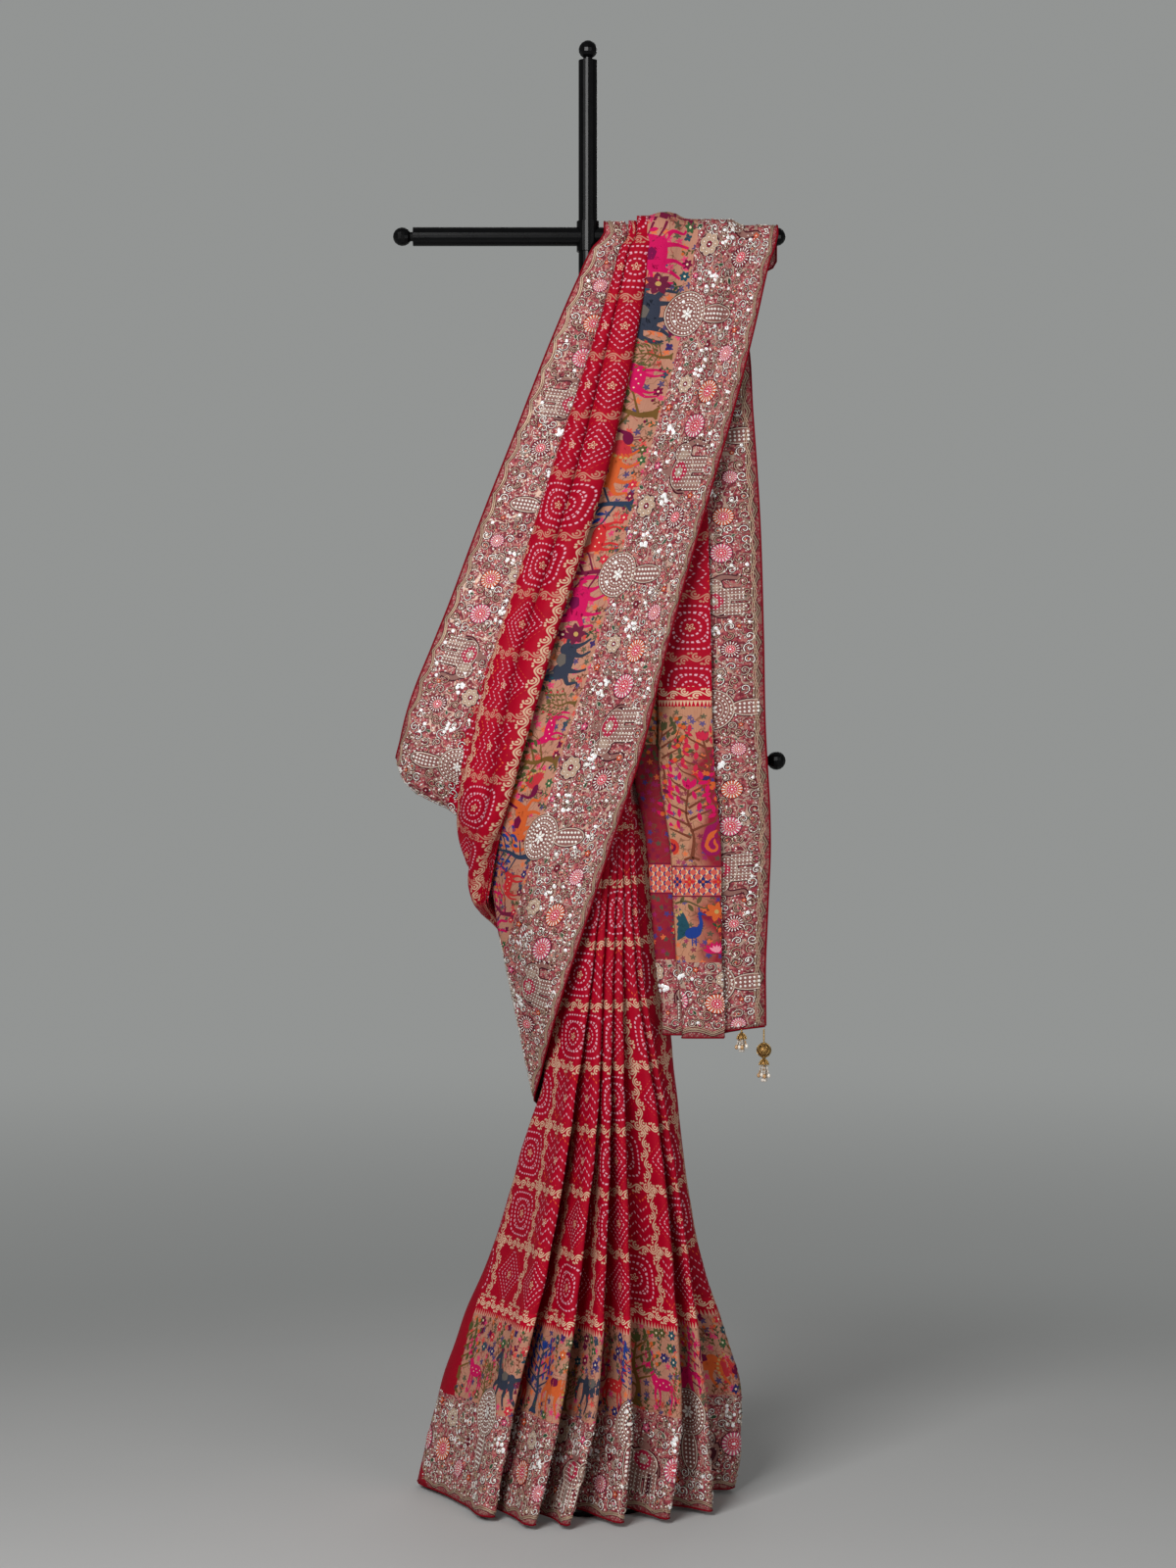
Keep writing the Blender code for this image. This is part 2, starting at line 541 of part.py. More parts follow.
def tube(name, p0, p1, radius, segments=24):
    """A round bar between two points."""
    a, b = Vector(p0), Vector(p1)
    bpy.ops.mesh.primitive_cylinder_add(vertices=segments, radius=radius, depth=(b - a).length)
    ob = bpy.context.object
    ob.name = name
    ob.location = (a + b) / 2
    ob.rotation_euler = Vector((0, 0, 1)).rotation_difference(b - a).to_euler()
    place(ob, M_STAND)
    ob.data.shade_smooth()
    ob.data.set_sharp_from_angle(angle=math.radians(40))
    return ob


def cutter(name, z0, z1, radius, segments=24):
    bpy.ops.mesh.primitive_cylinder_add(vertices=segments, radius=radius, depth=z1 - z0)
    ob = bpy.context.object
    ob.name = name
    ob.location = (0, 0, (z0 + z1) / 2)
    place(ob, M_STAND, cutters)
    ob.hide_render = True
    ob.display_type = "WIRE"
    return ob


def cut(ob, tool):
    mod = ob.modifiers.new("cut", "BOOLEAN")
    mod.operation = "DIFFERENCE"
    mod.solver = "EXACT"
    mod.object = tool


bore = cutter("bore", -0.1, 2.2, TUBE_R + GAP)
post = tube("post", (0, 0, BASE_T + GAP), (0, 0, POST_TOP), TUBE_R)
turned("post_finial", ball_profile(), M_STAND, (0, 0, POST_TOP + GAP))
for label, z, left, right in (("upper", ARM_UP_Z, ARM_LEFT_END, ARM_RIGHT_END),
                              ("lower", ARM_LO_Z, ARM_LO_LEFT_END, ARM_RIGHT_END)):
    collar = tube(label + "_collar", (0, 0, z - COLLAR_H / 2), (0, 0, z + COLLAR_H / 2), COLLAR_R)
    cut(collar, bore)
    saddle = cutter(label + "_saddle", z - 0.03, z + 0.03, COLLAR_R + GAP)
    for side, x in (("left", left), ("right", right)):
        s = -1 if side == "left" else 1
        arm = tube("%s_arm_%s" % (label, side), (s * 0.002, 0, z), (x, 0, z), TUBE_R)
        cut(arm, saddle)
        turned("%s_finial_%s" % (label, side), ball_profile(), M_STAND, (x + s * GAP, 0, z), (0, s * math.pi / 2, 0))
socket = tube("base_socket", (0, 0, BASE_T + GAP), (0, 0, BASE_T + GAP + SOCKET_H), SOCKET_R)
cut(socket, bore)
bpy.ops.mesh.primitive_cylinder_add(vertices=48, radius=BASE_R, depth=BASE_T)
plate = bpy.context.object
plate.name = "base_plate"
plate.location = (0, 0, BASE_T / 2)
place(plate, M_STAND)
plate.data.shade_smooth()
plate.data.set_sharp_from_angle(angle=math.radians(40))

# ----------------------------------------------------------------- tassels
# radius, height from the cord's top down
TASSEL_CORNER = ((0.0, 0.0), (0.0011, 0.0), (0.0011, -0.0155), (0.0050, -0.0180), (0.0088, -0.0220),
                 (0.0103, -0.0275), (0.0088, -0.0330), (0.0050, -0.0370), (0.0032, -0.0385), (0.0050, -0.0410),
                 (0.0066, -0.0460), (0.0060, -0.0475), (0.0095, -0.0560), (0.0090, -0.0640), (0.0040, -0.0690),
                 (0.0, -0.0700))
TASSEL_INNER = ((0.0, 0.0), (0.0011, 0.0), (0.0011, -0.0030), (0.0050, -0.0050), (0.0080, -0.0085),
                (0.0078, -0.0100), (0.0105, -0.0170), (0.0095, -0.0240), (0.0040, -0.0290), (0.0, -0.0300))
corner = RIBS[-1][-1]
turned("tassel_corner", TASSEL_CORNER, M_TASSEL,
       (corner[0] - 0.0015, corner[1], corner[2] - 2 * GAP - PIPE_W), steps=12)
b, a = RIBS[-1][-3], RIBS[-1][-1]
turned("tassel_inner", TASSEL_INNER, M_TASSEL,
       (*lerp(b, a, 0.32)[:2], lerp(b, a, 0.32)[2] - 2 * GAP - PIPE_W), steps=12)
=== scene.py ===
"""Looks of the bandhani saree draped on its display stand.

Metres, +Z up, the front of the drape faces -Y.  The cloth's folds come from
the same tables as its solid; here they are drawn finely, with the layers that
lie hidden inside the gathered folds.
"""
import bpy
import bmesh
import math
import random
import numpy as np
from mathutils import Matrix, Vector
from mathutils.bvhtree import BVHTree


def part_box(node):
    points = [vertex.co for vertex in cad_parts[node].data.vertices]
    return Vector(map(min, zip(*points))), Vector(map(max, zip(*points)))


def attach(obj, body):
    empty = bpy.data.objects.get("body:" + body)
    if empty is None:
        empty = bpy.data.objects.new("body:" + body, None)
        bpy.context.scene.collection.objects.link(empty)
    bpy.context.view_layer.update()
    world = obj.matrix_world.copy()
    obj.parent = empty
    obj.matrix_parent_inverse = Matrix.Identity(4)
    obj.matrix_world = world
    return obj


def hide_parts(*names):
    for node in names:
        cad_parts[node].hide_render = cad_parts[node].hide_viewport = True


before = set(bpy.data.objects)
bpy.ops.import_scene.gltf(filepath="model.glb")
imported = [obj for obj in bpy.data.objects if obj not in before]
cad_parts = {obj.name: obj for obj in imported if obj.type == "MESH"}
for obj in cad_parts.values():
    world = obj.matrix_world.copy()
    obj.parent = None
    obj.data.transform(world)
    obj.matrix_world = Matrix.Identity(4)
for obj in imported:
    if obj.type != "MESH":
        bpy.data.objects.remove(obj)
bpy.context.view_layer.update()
random.seed(7)

# ------------------------------------------------------------------ sizes
TUBE_R = 0.0125          # post and arms
ARM_UP_Z = 1.675         # axis of the upper cross arm
ARM_LO_Z = 0.980         # axis of the lower cross arm
POST_TOP = 1.9085
GAP = 0.0003             # between neighbouring pieces
BALL_R = 0.0124
NECK_R = 0.0062
BALL_OUT = 0.0140        # tube end to ball centre
ARM_LEFT_END = -0.2320   # upper arm's left tube end
ARM_RIGHT_END = 0.2355   # right tube ends
ARM_LO_LEFT_END = -0.2200
COLLAR_R = 0.0150
COLLAR_H = 0.040
BASE_R = 0.095
BASE_T = 0.006
SOCKET_R = 0.021
SOCKET_H = 0.030

CLOTH_W = 1.12           # width of the saree
CLOTH_T = 0.0012         # thickness of its solid
PIPE_W = 0.0040          # width of the piping
DRAPE_R = TUBE_R + 0.0026  # cloth's middle surface over a tube

# ------------------------------------------------------------- cloth columns
# name, distance from the lower edge measured on the cloth
COLUMNS = (
    ("F", 0.000), ("F2", 0.060), ("E", 0.130), ("A2", 0.195),
    ("T1a", 0.262), ("T1b", 0.268), ("Da", 0.325), ("Db", 0.333),
    ("Rm", 0.375), ("Ca", 0.415), ("Cb", 0.421), ("T2a", 0.480),
    ("T2b", 0.486), ("M0", 0.552), ("M1", 0.620), ("M2", 0.690), ("Ba", 0.760), ("Bb", 0.766),
    ("T3a", 0.890), ("T3b", 0.896), ("Bu", 1.035), ("Bm", 1.085), ("A", CLOTH_W),
)
NAMES = [c[0] for c in COLUMNS]
VS = [c[1] for c in COLUMNS]


# ------------------------------------------------------------------ helpers
def lerp(a, b, t):
    return tuple(p + (q - p) * t for p, q in zip(a, b))


def add(a, b, k=1.0):
    return tuple(p + q * k for p, q in zip(a, b))


def unit(a):
    m = math.sqrt(sum(p * p for p in a)) or 1.0
    return tuple(p / m for p in a)


def smooth(a, b, x):
    t = min(1.0, max(0.0, (x - a) / (b - a)))
    return t * t * (3 - 2 * t)


def curve(keys, rows, x):
    """Cubic through the rows (tuples) at the keys, with limited slopes."""
    n = len(keys)
    if x <= keys[0]:
        return tuple(rows[0])
    if x >= keys[-1]:
        return tuple(rows[-1])
    i = max(k for k in range(n - 1) if keys[k] <= x)
    h = keys[i + 1] - keys[i]
    t = (x - keys[i]) / h
    out = []
    for c in range(len(rows[0])):
        def slope(k):
            if k == 0 or k == n - 1:
                j = 0 if k == 0 else n - 2
                return (rows[j + 1][c] - rows[j][c]) / (keys[j + 1] - keys[j])
            a = (rows[k][c] - rows[k - 1][c]) / (keys[k] - keys[k - 1])
            b = (rows[k + 1][c] - rows[k][c]) / (keys[k + 1] - keys[k])
            wa, wb = keys[k + 1] - keys[k], keys[k] - keys[k - 1]
            m = (a * wa + b * wb) / (wa + wb)
            if a * b <= 0:
                return 0.0
            lim = 2.5 * min(abs(a), abs(b))
            return max(-lim, min(lim, m))
        p0, p1 = rows[i][c], rows[i + 1][c]
        m0, m1 = slope(i) * h, slope(i + 1) * h
        out.append(p0 * (2 * t ** 3 - 3 * t ** 2 + 1) + m0 * (t ** 3 - 2 * t ** 2 + t)
                   + p1 * (3 * t ** 2 - 2 * t ** 3) + m1 * (t ** 3 - t ** 2))
    return tuple(out)


# ------------------------------------------------------------------- skirt
HEM_Z = 0.0085
BASE_CLEAR = 0.0045      # how much higher the hem lies over the base plate
LEVELS = (0.0085, 0.140, 0.325, 0.520, 0.690, 0.960)
# The folds' tips in plan at the six levels (x, y), from the inner end to the
# right side.  kind: e end, c wide corner, f front fold, b hidden back fold.
# sag: how far the panel before the fold bows back.  top: how far its upper
# edge ends over the lower arm's axis, in front of arm and post.  The rows
# I0 and I1 are measured from L0, the skirt's left fold.
FOLDS = (
    # name kind   hem              0.14             0.325            0.52              0.69             waist            sag    top
    ("I0", "e", (0.103, 0.020), (0.076, 0.018), (0.052, 0.012), (0.028, 0.032), (0.005, 0.050), (-0.002, 0.034), 0.0, 0.050),
    ("I1", "c", (0.037, 0.032), (0.032, 0.028), (0.024, 0.022), (0.012, 0.024), (0.003, 0.024), (-0.004, 0.018), 0.0, 0.050),
    ("L0", "c", (-0.233, 0.080), (-0.201, 0.072), (-0.133, 0.050), (-0.074, 0.000), (-0.056, -0.045), (-0.060, -0.056), 0.0, 0.050),
    ("F1", "f", (-0.122, -0.127), (-0.098, -0.122), (-0.054, -0.113), (-0.0215, -0.106), (0.003, -0.099), (0.030, -0.0910), 0.0, 0.050),
    ("B1", "b", (-0.150, -0.036), (-0.122, -0.034), (-0.068, -0.036), (-0.036, -0.040), (-0.038, -0.048), (-0.047, -0.0547), 0.0, 0.050),
    ("F2", "f", (-0.068, -0.171), (-0.038, -0.162), (-0.011, -0.140), (0.011, -0.120), (0.018, -0.097), (0.036, -0.0844), 0.002, 0.050),
    ("B2", "b", (-0.096, -0.080), (-0.066, -0.076), (-0.034, -0.068), (-0.020, -0.050), (-0.032, -0.043), (-0.045, -0.0481), 0.0, 0.050),
    ("F3", "f", (-0.0245, -0.171), (0.0075, -0.161), (0.021, -0.138), (0.0275, -0.116), (0.032, -0.091), (0.041, -0.0778), 0.009, 0.050),
    ("B3", "b", (-0.044, -0.084), (-0.018, -0.078), (-0.001, -0.069), (-0.006, -0.050), (-0.027, -0.037), (-0.043, -0.0415), 0.0, 0.050),
    ("F4", "f", (0.044, -0.157), (0.054, -0.147), (0.052, -0.125), (0.0466, -0.105), (0.045, -0.084), (0.046, -0.0712), 0.007, 0.050),
    ("B4", "b", (0.004, -0.076), (0.016, -0.070), (0.024, -0.060), (0.010, -0.044), (-0.019, -0.031), (-0.041, -0.0349), 0.0, 0.050),
    ("F5", "f", (0.103, -0.137), (0.119, -0.128), (0.109, -0.107), (0.089, -0.091), (0.0635, -0.075), (0.051, -0.0646), 0.012, 0.050),
    ("B5", "b", (0.066, -0.060), (0.072, -0.055), (0.070, -0.046), (0.035, -0.036), (-0.007, -0.027), (-0.038, -0.0283), 0.0, 0.050),
    ("F6", "f", (0.160, -0.096), (0.153, -0.090), (0.131, -0.078), (0.102, -0.070), (0.0735, -0.063), (0.056, -0.0580), 0.012, 0.035),
    ("B6", "b", (0.122, 0.002), (0.122, 0.000), (0.100, -0.014), (0.060, -0.022), (0.012, -0.023), (-0.030, -0.0220), 0.0, 0.010),
    ("F7", "c", (0.196, 0.028), (0.205, 0.020), (0.148, 0.008), (0.107, -0.016), (0.082, -0.038), (0.060, -0.0420), 0.010, -0.030),
)
HALF_GAP = (0.0032, 0.0030, 0.0027, 0.0024, 0.0021, 0.0017)   # half a fold's opening, by level
# left fold's and right fold's true outline: height, x
LEFT_OUTLINE = ((0.0085, -0.233), (0.142, -0.201), (0.250, -0.163), (0.330, -0.130), (0.420, -0.103),
                (0.475, -0.088), (0.545, -0.064), (0.690, -0.056), (0.960, -0.060))
RIGHT_OUTLINE = ((0.0085, 0.196), (0.060, 0.203), (0.120, 0.204), (0.210, 0.185), (0.260, 0.168),
                 (0.325, 0.148), (0.450, 0.122), (0.530, 0.105), (0.680, 0.083), (0.810, 0.071), (0.960, 0.058))
PANEL_MIDS = (0.34, 0.67)


def hem_height(x, y):
    r = math.hypot(x, y)
    return HEM_Z + BASE_CLEAR * (1 - smooth(0.102, 0.114, r))


def fold_tip(row, z):
    p = curve(LEVELS, row[2:8], z)
    if row[0] in ("I0", "I1"):
        return add(fold_tip(FOLDS[2], z), p)
    if row[0] == "L0":
        p = (curve([r[0] for r in LEFT_OUTLINE], [(r[1],) for r in LEFT_OUTLINE], z)[0], p[1])
    if row[0] == "F7":
        p = (curve([r[0] for r in RIGHT_OUTLINE], [(r[1],) for r in RIGHT_OUTLINE], z)[0], p[1])
    return p


def skirt_section(z):
    """Plan section of the skirt at height z: list of (x, y, over)."""
    tips = [fold_tip(r, z) for r in FOLDS]
    hg = curve(LEVELS, [(h,) for h in HALF_GAP], z)[0]
    pairs = []
    for k, row in enumerate(FOLDS):
        p, kind, over = tips[k], row[1], row[9]
        if kind == "e":
            pairs.append([(p, over)])
            continue
        d1 = unit(add(p, tips[k - 1], -1)) if k else None
        d2 = unit(add(tips[k + 1], p, -1)) if k + 1 < len(FOLDS) else unit((0.10, 1.0))
        if kind == "c":
            c = 0.010 if row[0] == "F7" else 0.007
            if row[0] == "F7":
                pairs.append([(add(p, d1, -c), over), (add(p, d2, c), over)])
            else:
                pairs.append([(add(p, d1, -c), over), (add(p, d2, c), over)])
            continue
        o = unit(add(d1, d2, -1))
        s = (-o[1], o[0]) if kind == "f" else (o[1], -o[0])
        tip = add(p, o, -0.4 * hg)
        pairs.append([(add(tip, s, -hg), over), (add(tip, s, hg), over)])
    out = []
    for k, pr in enumerate(pairs):
        if k:
            a, b = pairs[k - 1][-1], pr[0]
            kind, sag = FOLDS[k][1], FOLDS[k][8]
            mids = PANEL_MIDS if kind == "f" or FOLDS[k][0] == "F7" else (0.5,)
            d = unit(add(b[0], a[0], -1))
            n = (-d[1], d[0])
            for m in mids:
                q = lerp(a[0], b[0], m)
                q = add(q, n, sag * 4 * m * (1 - m) * (1 - smooth(0.25, 0.60, z)))
                out.append((q[0], q[1], a[1] + (b[1] - a[1]) * m))
        for p, over in pr:
            out.append((p[0], p[1], over))
    return out


def skirt_ribs():
    """Ribs of the pleated skirt: one list of 3-D points per rib."""
    count = len(skirt_section(0.3))
    base = skirt_section(HEM_Z)
    zs_by_col = []
    ribs = [[] for _ in range(count)]
    for r in range(count):
        over = base[r][2]
        z0 = hem_height(base[r][0], base[r][1])
        top = ARM_LO_Z + over
        for v in VS:
            s = z0 + v * 0.975
            if v > 0.89:
                s9 = z0 + 0.89 * 0.975
                s = s9 + (top - s9) * (v - 0.89) / (CLOTH_W - 0.89)
            zc = min(s, LEVELS[-1])
            sec = skirt_section(zc)[r]
            x, y = sec[0], sec[1]
            ribs[r].append((x, y, s))
    return ribs


# --------------------------------------------------- front swath and the back
# The swath's six visible lines, front view (x, z), at tenths of their length
# from the upper arm to the place where the cloth turns to the back.
SWATH = {
    "A": ((0.0225, 1.686), (-0.012, 1.616), (-0.042, 1.547), (-0.070, 1.477), (-0.097, 1.407), (-0.125, 1.337),
          (-0.152, 1.267), (-0.178, 1.197), (-0.206, 1.127), (-0.234, 1.057), (-0.2545, 0.983)),
    "B": ((0.054, 1.691), (0.031, 1.612), (0.007, 1.532), (-0.018, 1.454), (-0.043, 1.376), (-0.068, 1.297),
          (-0.093, 1.219), (-0.118, 1.142), (-0.140, 1.063), (-0.156, 0.983), (-0.165, 0.901)),
    "C": ((0.065, 1.693), (0.044, 1.605), (0.023, 1.516), (0.002, 1.428), (-0.021, 1.340), (-0.046, 1.253),
          (-0.074, 1.168), (-0.098, 1.082), (-0.116, 0.994), (-0.131, 0.908), (-0.140, 0.830)),
    "D": ((0.088, 1.696), (0.075, 1.605), (0.060, 1.514), (0.041, 1.424), (0.019, 1.335), (-0.008, 1.249),
          (-0.035, 1.162), (-0.060, 1.076), (-0.085, 0.989), (-0.108, 0.900), (-0.127, 0.790)),
    "E": ((0.145, 1.691), (0.132, 1.590), (0.110, 1.489), (0.083, 1.393), (0.056, 1.296), (0.030, 1.198),
          (0.003, 1.101), (-0.027, 1.008), (-0.056, 0.914), (-0.082, 0.820), (-0.111, 0.723)),
    "F": ((0.2500, 1.688), (0.223, 1.570), (0.194, 1.453), (0.161, 1.337), (0.128, 1.222), (0.097, 1.107),
          (0.069, 0.992), (0.033, 0.882), (-0.003, 0.772), (-0.039, 0.660), (-0.0715, 0.532)),
}
TENTHS = [k / 10 for k in range(11)]
DEPTH_AT = (0.0, 0.25, 0.50, 0.75, 0.90, 1.0)
# depth y of the same lines, at those fractions of their length
DEPTH = {
    "A": (-0.0151, -0.022, -0.026, -0.026, -0.024, 0.000),
    "B": (-0.0151, -0.027, -0.036, -0.044, -0.042, 0.002),
    "C": (-0.0151, -0.032, -0.046, -0.058, -0.052, 0.000),
    "D": (-0.0151, -0.034, -0.060, -0.082, -0.064, -0.002),
    "E": (-0.0151, -0.038, -0.074, -0.107, -0.085, -0.004),
    "F": (-0.0151, -0.042, -0.088, -0.116, -0.095, 0.000),
}
# The back, from the skirt's right side to the turn at the left: the lines'
# points (x, y, z), and how far the folds are gathered (0 flat, 1 as in front).
BACK = (
    # name  F                      E                      D                      C                      B                       A                       gather, turn of the outward side
    ("K0", (0.188, 0.066, 0.0085), (0.179, 0.062, 0.137), (0.148, 0.044, 0.325), (0.133, 0.036, 0.410), (0.090, 0.004, 0.780), (0.080, -0.004, 0.945), 0.00, 0.75),
    ("K1", (0.128, 0.124, 0.095), (0.122, 0.116, 0.220), (0.104, 0.094, 0.400), (0.096, 0.086, 0.475), (0.066, 0.044, 0.820), (0.060, 0.044, 0.965), 0.12, 0.35),
    ("K2", (0.040, 0.146, 0.275), (0.038, 0.138, 0.390), (0.030, 0.116, 0.545), (0.026, 0.110, 0.600), (-0.004, 0.066, 0.865), (-0.020, 0.052, 0.985), 0.45, 0.0),
    ("K3", (-0.035, 0.110, 0.430), (-0.042, 0.104, 0.535), (-0.054, 0.090, 0.655), (-0.064, 0.084, 0.695), (-0.094, 0.056, 0.880), (-0.138, 0.036, 0.988), 0.80, -0.35),
    ("K4", (-0.062, 0.060, 0.510), (-0.090, 0.055, 0.665), (-0.108, 0.048, 0.752), (-0.120, 0.044, 0.792), (-0.148, 0.030, 0.898), (-0.236, 0.0165, 0.985), 0.95, -0.8),
    ("K5", (-0.069, 0.028, 0.524), (-0.104, 0.026, 0.700), (-0.120, 0.024, 0.772), (-0.134, 0.022, 0.814), (-0.160, 0.016, 0.900), (-0.2496, 0.0117, 0.984), 1.0, -2.5),
)
LAYER = 0.0043           # between the layers of the gathered folds
HIDDEN = (0.75, 0.78, 0.80)   # how far folds T1, T2 and T3 reach under the ridges
CROWN = 0.003
CORNER = (-0.0243, 0.0, 0.002)   # how far the border stands out round the lower arm's end


def layered(a, n, g):
    """One rib of gathered cloth from its six lines: two raised folds."""
    F, E, D, C, B, A = (a[k] for k in "FEDCBA")
    k = a.get("corner", 0.0)
    Bm = add(lerp(B, A, 0.6), CORNER, k)
    Bm = add(Bm, (0.0, -0.009, 0.0), a.get("front", 0.0) * smooth(0.2, 0.6, k) * (1 - smooth(0.95, 1.0, k)))
    T1, T2, T3 = lerp(D, C, HIDDEN[0]), lerp(C, D, HIDDEN[1]), lerp(B, C, HIDDEN[2])
    return [
        F, lerp(F, E, 0.46), E, lerp(E, D, 0.5),
        T1, add(T1, n, 0.7 * g), add(D, n, 1.3 * g), add(D, n, 4 * g),
        add(lerp(D, C, 0.5), n, 4 * g + CROWN), add(C, n, 4 * g), add(C, n, 3.3 * g),
        add(T2, n, 2.7 * g), add(T2, n, 2 * g), add(lerp(T2, C, 0.9), n, 2 * g),
        add(lerp(C, B, 0.28), n, 2 * g + CROWN), add(lerp(C, B, 0.68), n, 2 * g + CROWN),
        add(B, n, 2 * g), add(B, n, 1.3 * g), add(T3, n, 0.7 * g), T3, lerp(B, A, 0.03), Bm, A,
    ]


FLAT_V = (0.0, 0.130, 0.325, 0.415, 0.763, CLOTH_W)


def flat(a, n):
    """The same rib with its folds let out."""
    pts = [a[k] for k in "FEDCBA"]
    out = []
    for v in VS:
        i = max(k for k in range(5) if FLAT_V[k] <= v + 1e-9)
        out.append(lerp(pts[i], pts[i + 1], (v - FLAT_V[i]) / (FLAT_V[i + 1] - FLAT_V[i])))
    return out


def swath_anchor(f):
    out = {}
    for k in "FEDCBA":
        x, z = curve(TENTHS, SWATH[k], f)
        y = curve(DEPTH_AT, [(d,) for d in DEPTH[k]], f)[0]
        out[k] = (x, y, z)
    out["corner"] = smooth(0.85, 1.0, f)
    out["front"] = 1.0
    return out


BACK_AT = (0.0, 0.5, 1.0, 1.35, 1.65, 2.0, 2.5, 3.0, 3.5, 4.0, 5.0)


def back_anchor(x):
    keys = list(range(len(BACK)))
    a = {k: curve(keys, [r[1 + c] for r in BACK], x) for c, k in enumerate("FEDCBA")}
    g = curve(keys, [(r[7],) for r in BACK], x)[0]
    turn = curve(keys, [(r[8],) for r in BACK], x)[0]
    a["corner"] = g ** 3
    return a, g, unit((turn, 1.0, 0.0))


def back_ribs():
    out = []
    for x in BACK_AT:
        a, g, n = back_anchor(x)
        lay0 = layered(a, n, 0.0)
        lay1 = layered(a, n, LAYER * min(1.0, g / 0.30))
        out.append([add(lerp(p, q, g), add(r, q, -1)) for p, q, r in zip(flat(a, n), lay0, lay1)])
    return out


SWATH_AT = (1.0, 0.975, 0.95, 0.925, 0.90, 0.87, 0.80, 0.70, 0.60, 0.50, 0.40, 0.30, 0.20, 0.10, 0.04)


def swath_ribs():
    out = []
    for f in SWATH_AT:
        a = swath_anchor(f)
        turn = smooth(0.86, 1.0, f)
        n = unit((-turn, -(1 - turn), 0.0))
        g = LAYER * (0.75 + 0.25 * smooth(0.0, 0.3, f))
        out.append(layered(a, n, g))
    return out


ARM_ANGLES = (0, 60, 120, 180)


def arm_ribs():
    """Over the upper arm: each layer on its own radius."""
    a = {k: (v[0][0], 0.0, 0.0) for k, v in SWATH.items()}
    sec = layered(a, (0.0, 1.0, 0.0), LAYER * 0.75)
    out = []
    for deg in ARM_ANGLES:
        t = math.radians(deg)
        out.append([(p[0], -(DRAPE_R + p[1]) * math.cos(t), ARM_UP_Z + (DRAPE_R + p[1]) * math.sin(t)) for p in sec])
    return out


# ------------------------------------------------------------ hanging end
# Its plan section, folded lengthwise once: across (0 left crease, 1 right
# edge) and depth behind the front (metres).
END_SECTION = (
    # column  across  depth
    ("F", 0.93, 0.013), ("F2", 0.83, 0.017), ("E", 0.72, 0.013), ("A2", 0.63, 0.012),
    ("T1a", 0.53, 0.018), ("T1b", 0.50, 0.018), ("Da", 0.31, 0.013), ("Db", 0.28, 0.013),
    ("Rm", 0.12, 0.016), ("Ca", 0.005, 0.006), ("Cb", 0.00, -0.001), ("T2a", 0.10, -0.010),
    ("T2b", 0.13, -0.010), ("M0", 0.19, -0.003), ("M1", 0.25, 0.004), ("M2", 0.32, -0.004), ("Ba", 0.40, -0.013), ("Bb", 0.45, -0.013),
    ("T3a", 0.545, 0.004), ("T3b", 0.58, 0.000), ("Bu", 0.66, -0.011), ("Bm", 0.86, -0.008), ("A", 1.00, 0.000),
)
# height, left crease x, right edge x, depth y of its front, fold depth factor
END_LEVELS = (
    (1.540, 0.045, 0.2100, 0.002, 0.55), (1.440, 0.050, 0.2175, -0.006, 0.75), (1.300, 0.055, 0.2260, -0.017, 0.9),
    (1.150, 0.058, 0.2300, -0.029, 1.0), (1.010, 0.060, 0.2325, -0.039, 1.0), (0.950, 0.062, 0.2360, -0.040, 1.0),
    (0.920, 0.068, 0.2375, -0.041, 1.0),
    (0.870, 0.077, 0.2385, -0.041, 1.0), (0.780, 0.084, 0.2350, -0.040, 1.0), (0.700, 0.091, 0.2320, -0.040, 1.0),
    (0.645, 0.098, 0.2325, -0.040, 1.0),
)
END_HEM = {"right": 0.6315, "fold": 0.6175, "left": 0.6210}
# Just below the arm the cloth's upper border turns over to the right, in
# front of the rest: height, share of the way sideways and in depth, plan (x, y)
# of T3b, Bu, Bm, A.
TURN_OVER = (
    (1.645, 0.00, 0.00, None),
    (1.620, 0.40, 0.08, ((0.073, 0.0095), (0.062, 0.006), (0.050, -0.002), (0.045, -0.008))),
    (1.595, 0.72, 0.42, ((0.099, 0.0035), (0.088, -0.002), (0.100, -0.010), (0.110, -0.012))),
    (1.567, 0.93, 0.78, ((0.124, 0.0015), (0.130, -0.006), (0.157, -0.008), (0.176, -0.007))),
)


def end_ribs(rear):
    out = []
    keys = [-r[0] for r in END_LEVELS]

    def section(z):
        xl, xr, y0, k = curve(keys, [r[1:] for r in END_LEVELS], -z)
        return [(xl + (xr - xl) * c[1], y0 + c[2] * k, z) for c in END_SECTION]

    # just below the arm: part way from the arm's section to the folded one
    goal = section(1.540)
    for z, t, d, border in TURN_OVER:
        rib = []
        for name, p, q in zip(NAMES, rear, goal):
            ahead = 0.0 if NAMES.index(name) < NAMES.index("Cb") else -0.005 * 4 * d * (1 - d)
            rib.append((p[0] + (q[0] - p[0]) * t, p[1] + (q[1] - p[1]) * d + ahead, z))
        if border:
            rib[-4:] = [(x, y, z) for x, y in border]
        out.append(rib)
    for r in END_LEVELS:
        out.append(section(r[0]))
    last = []
    for c, p in zip(END_SECTION, section(0.645)):
        z = END_HEM["left"] + (END_HEM["right"] - END_HEM["left"]) * smooth(0.5, 0.66, c[1])
        if c[0] in ("T2a", "T2b", "M0", "M1", "M2", "Ba", "Bb"):
            z = END_HEM["fold"]
        last.append((p[0], p[1], z))
    out.append(last)
    return out


def all_ribs():
    ribs = skirt_ribs() + back_ribs() + swath_ribs()
    arm = arm_ribs()
    return ribs + arm + end_ribs(arm[-1])


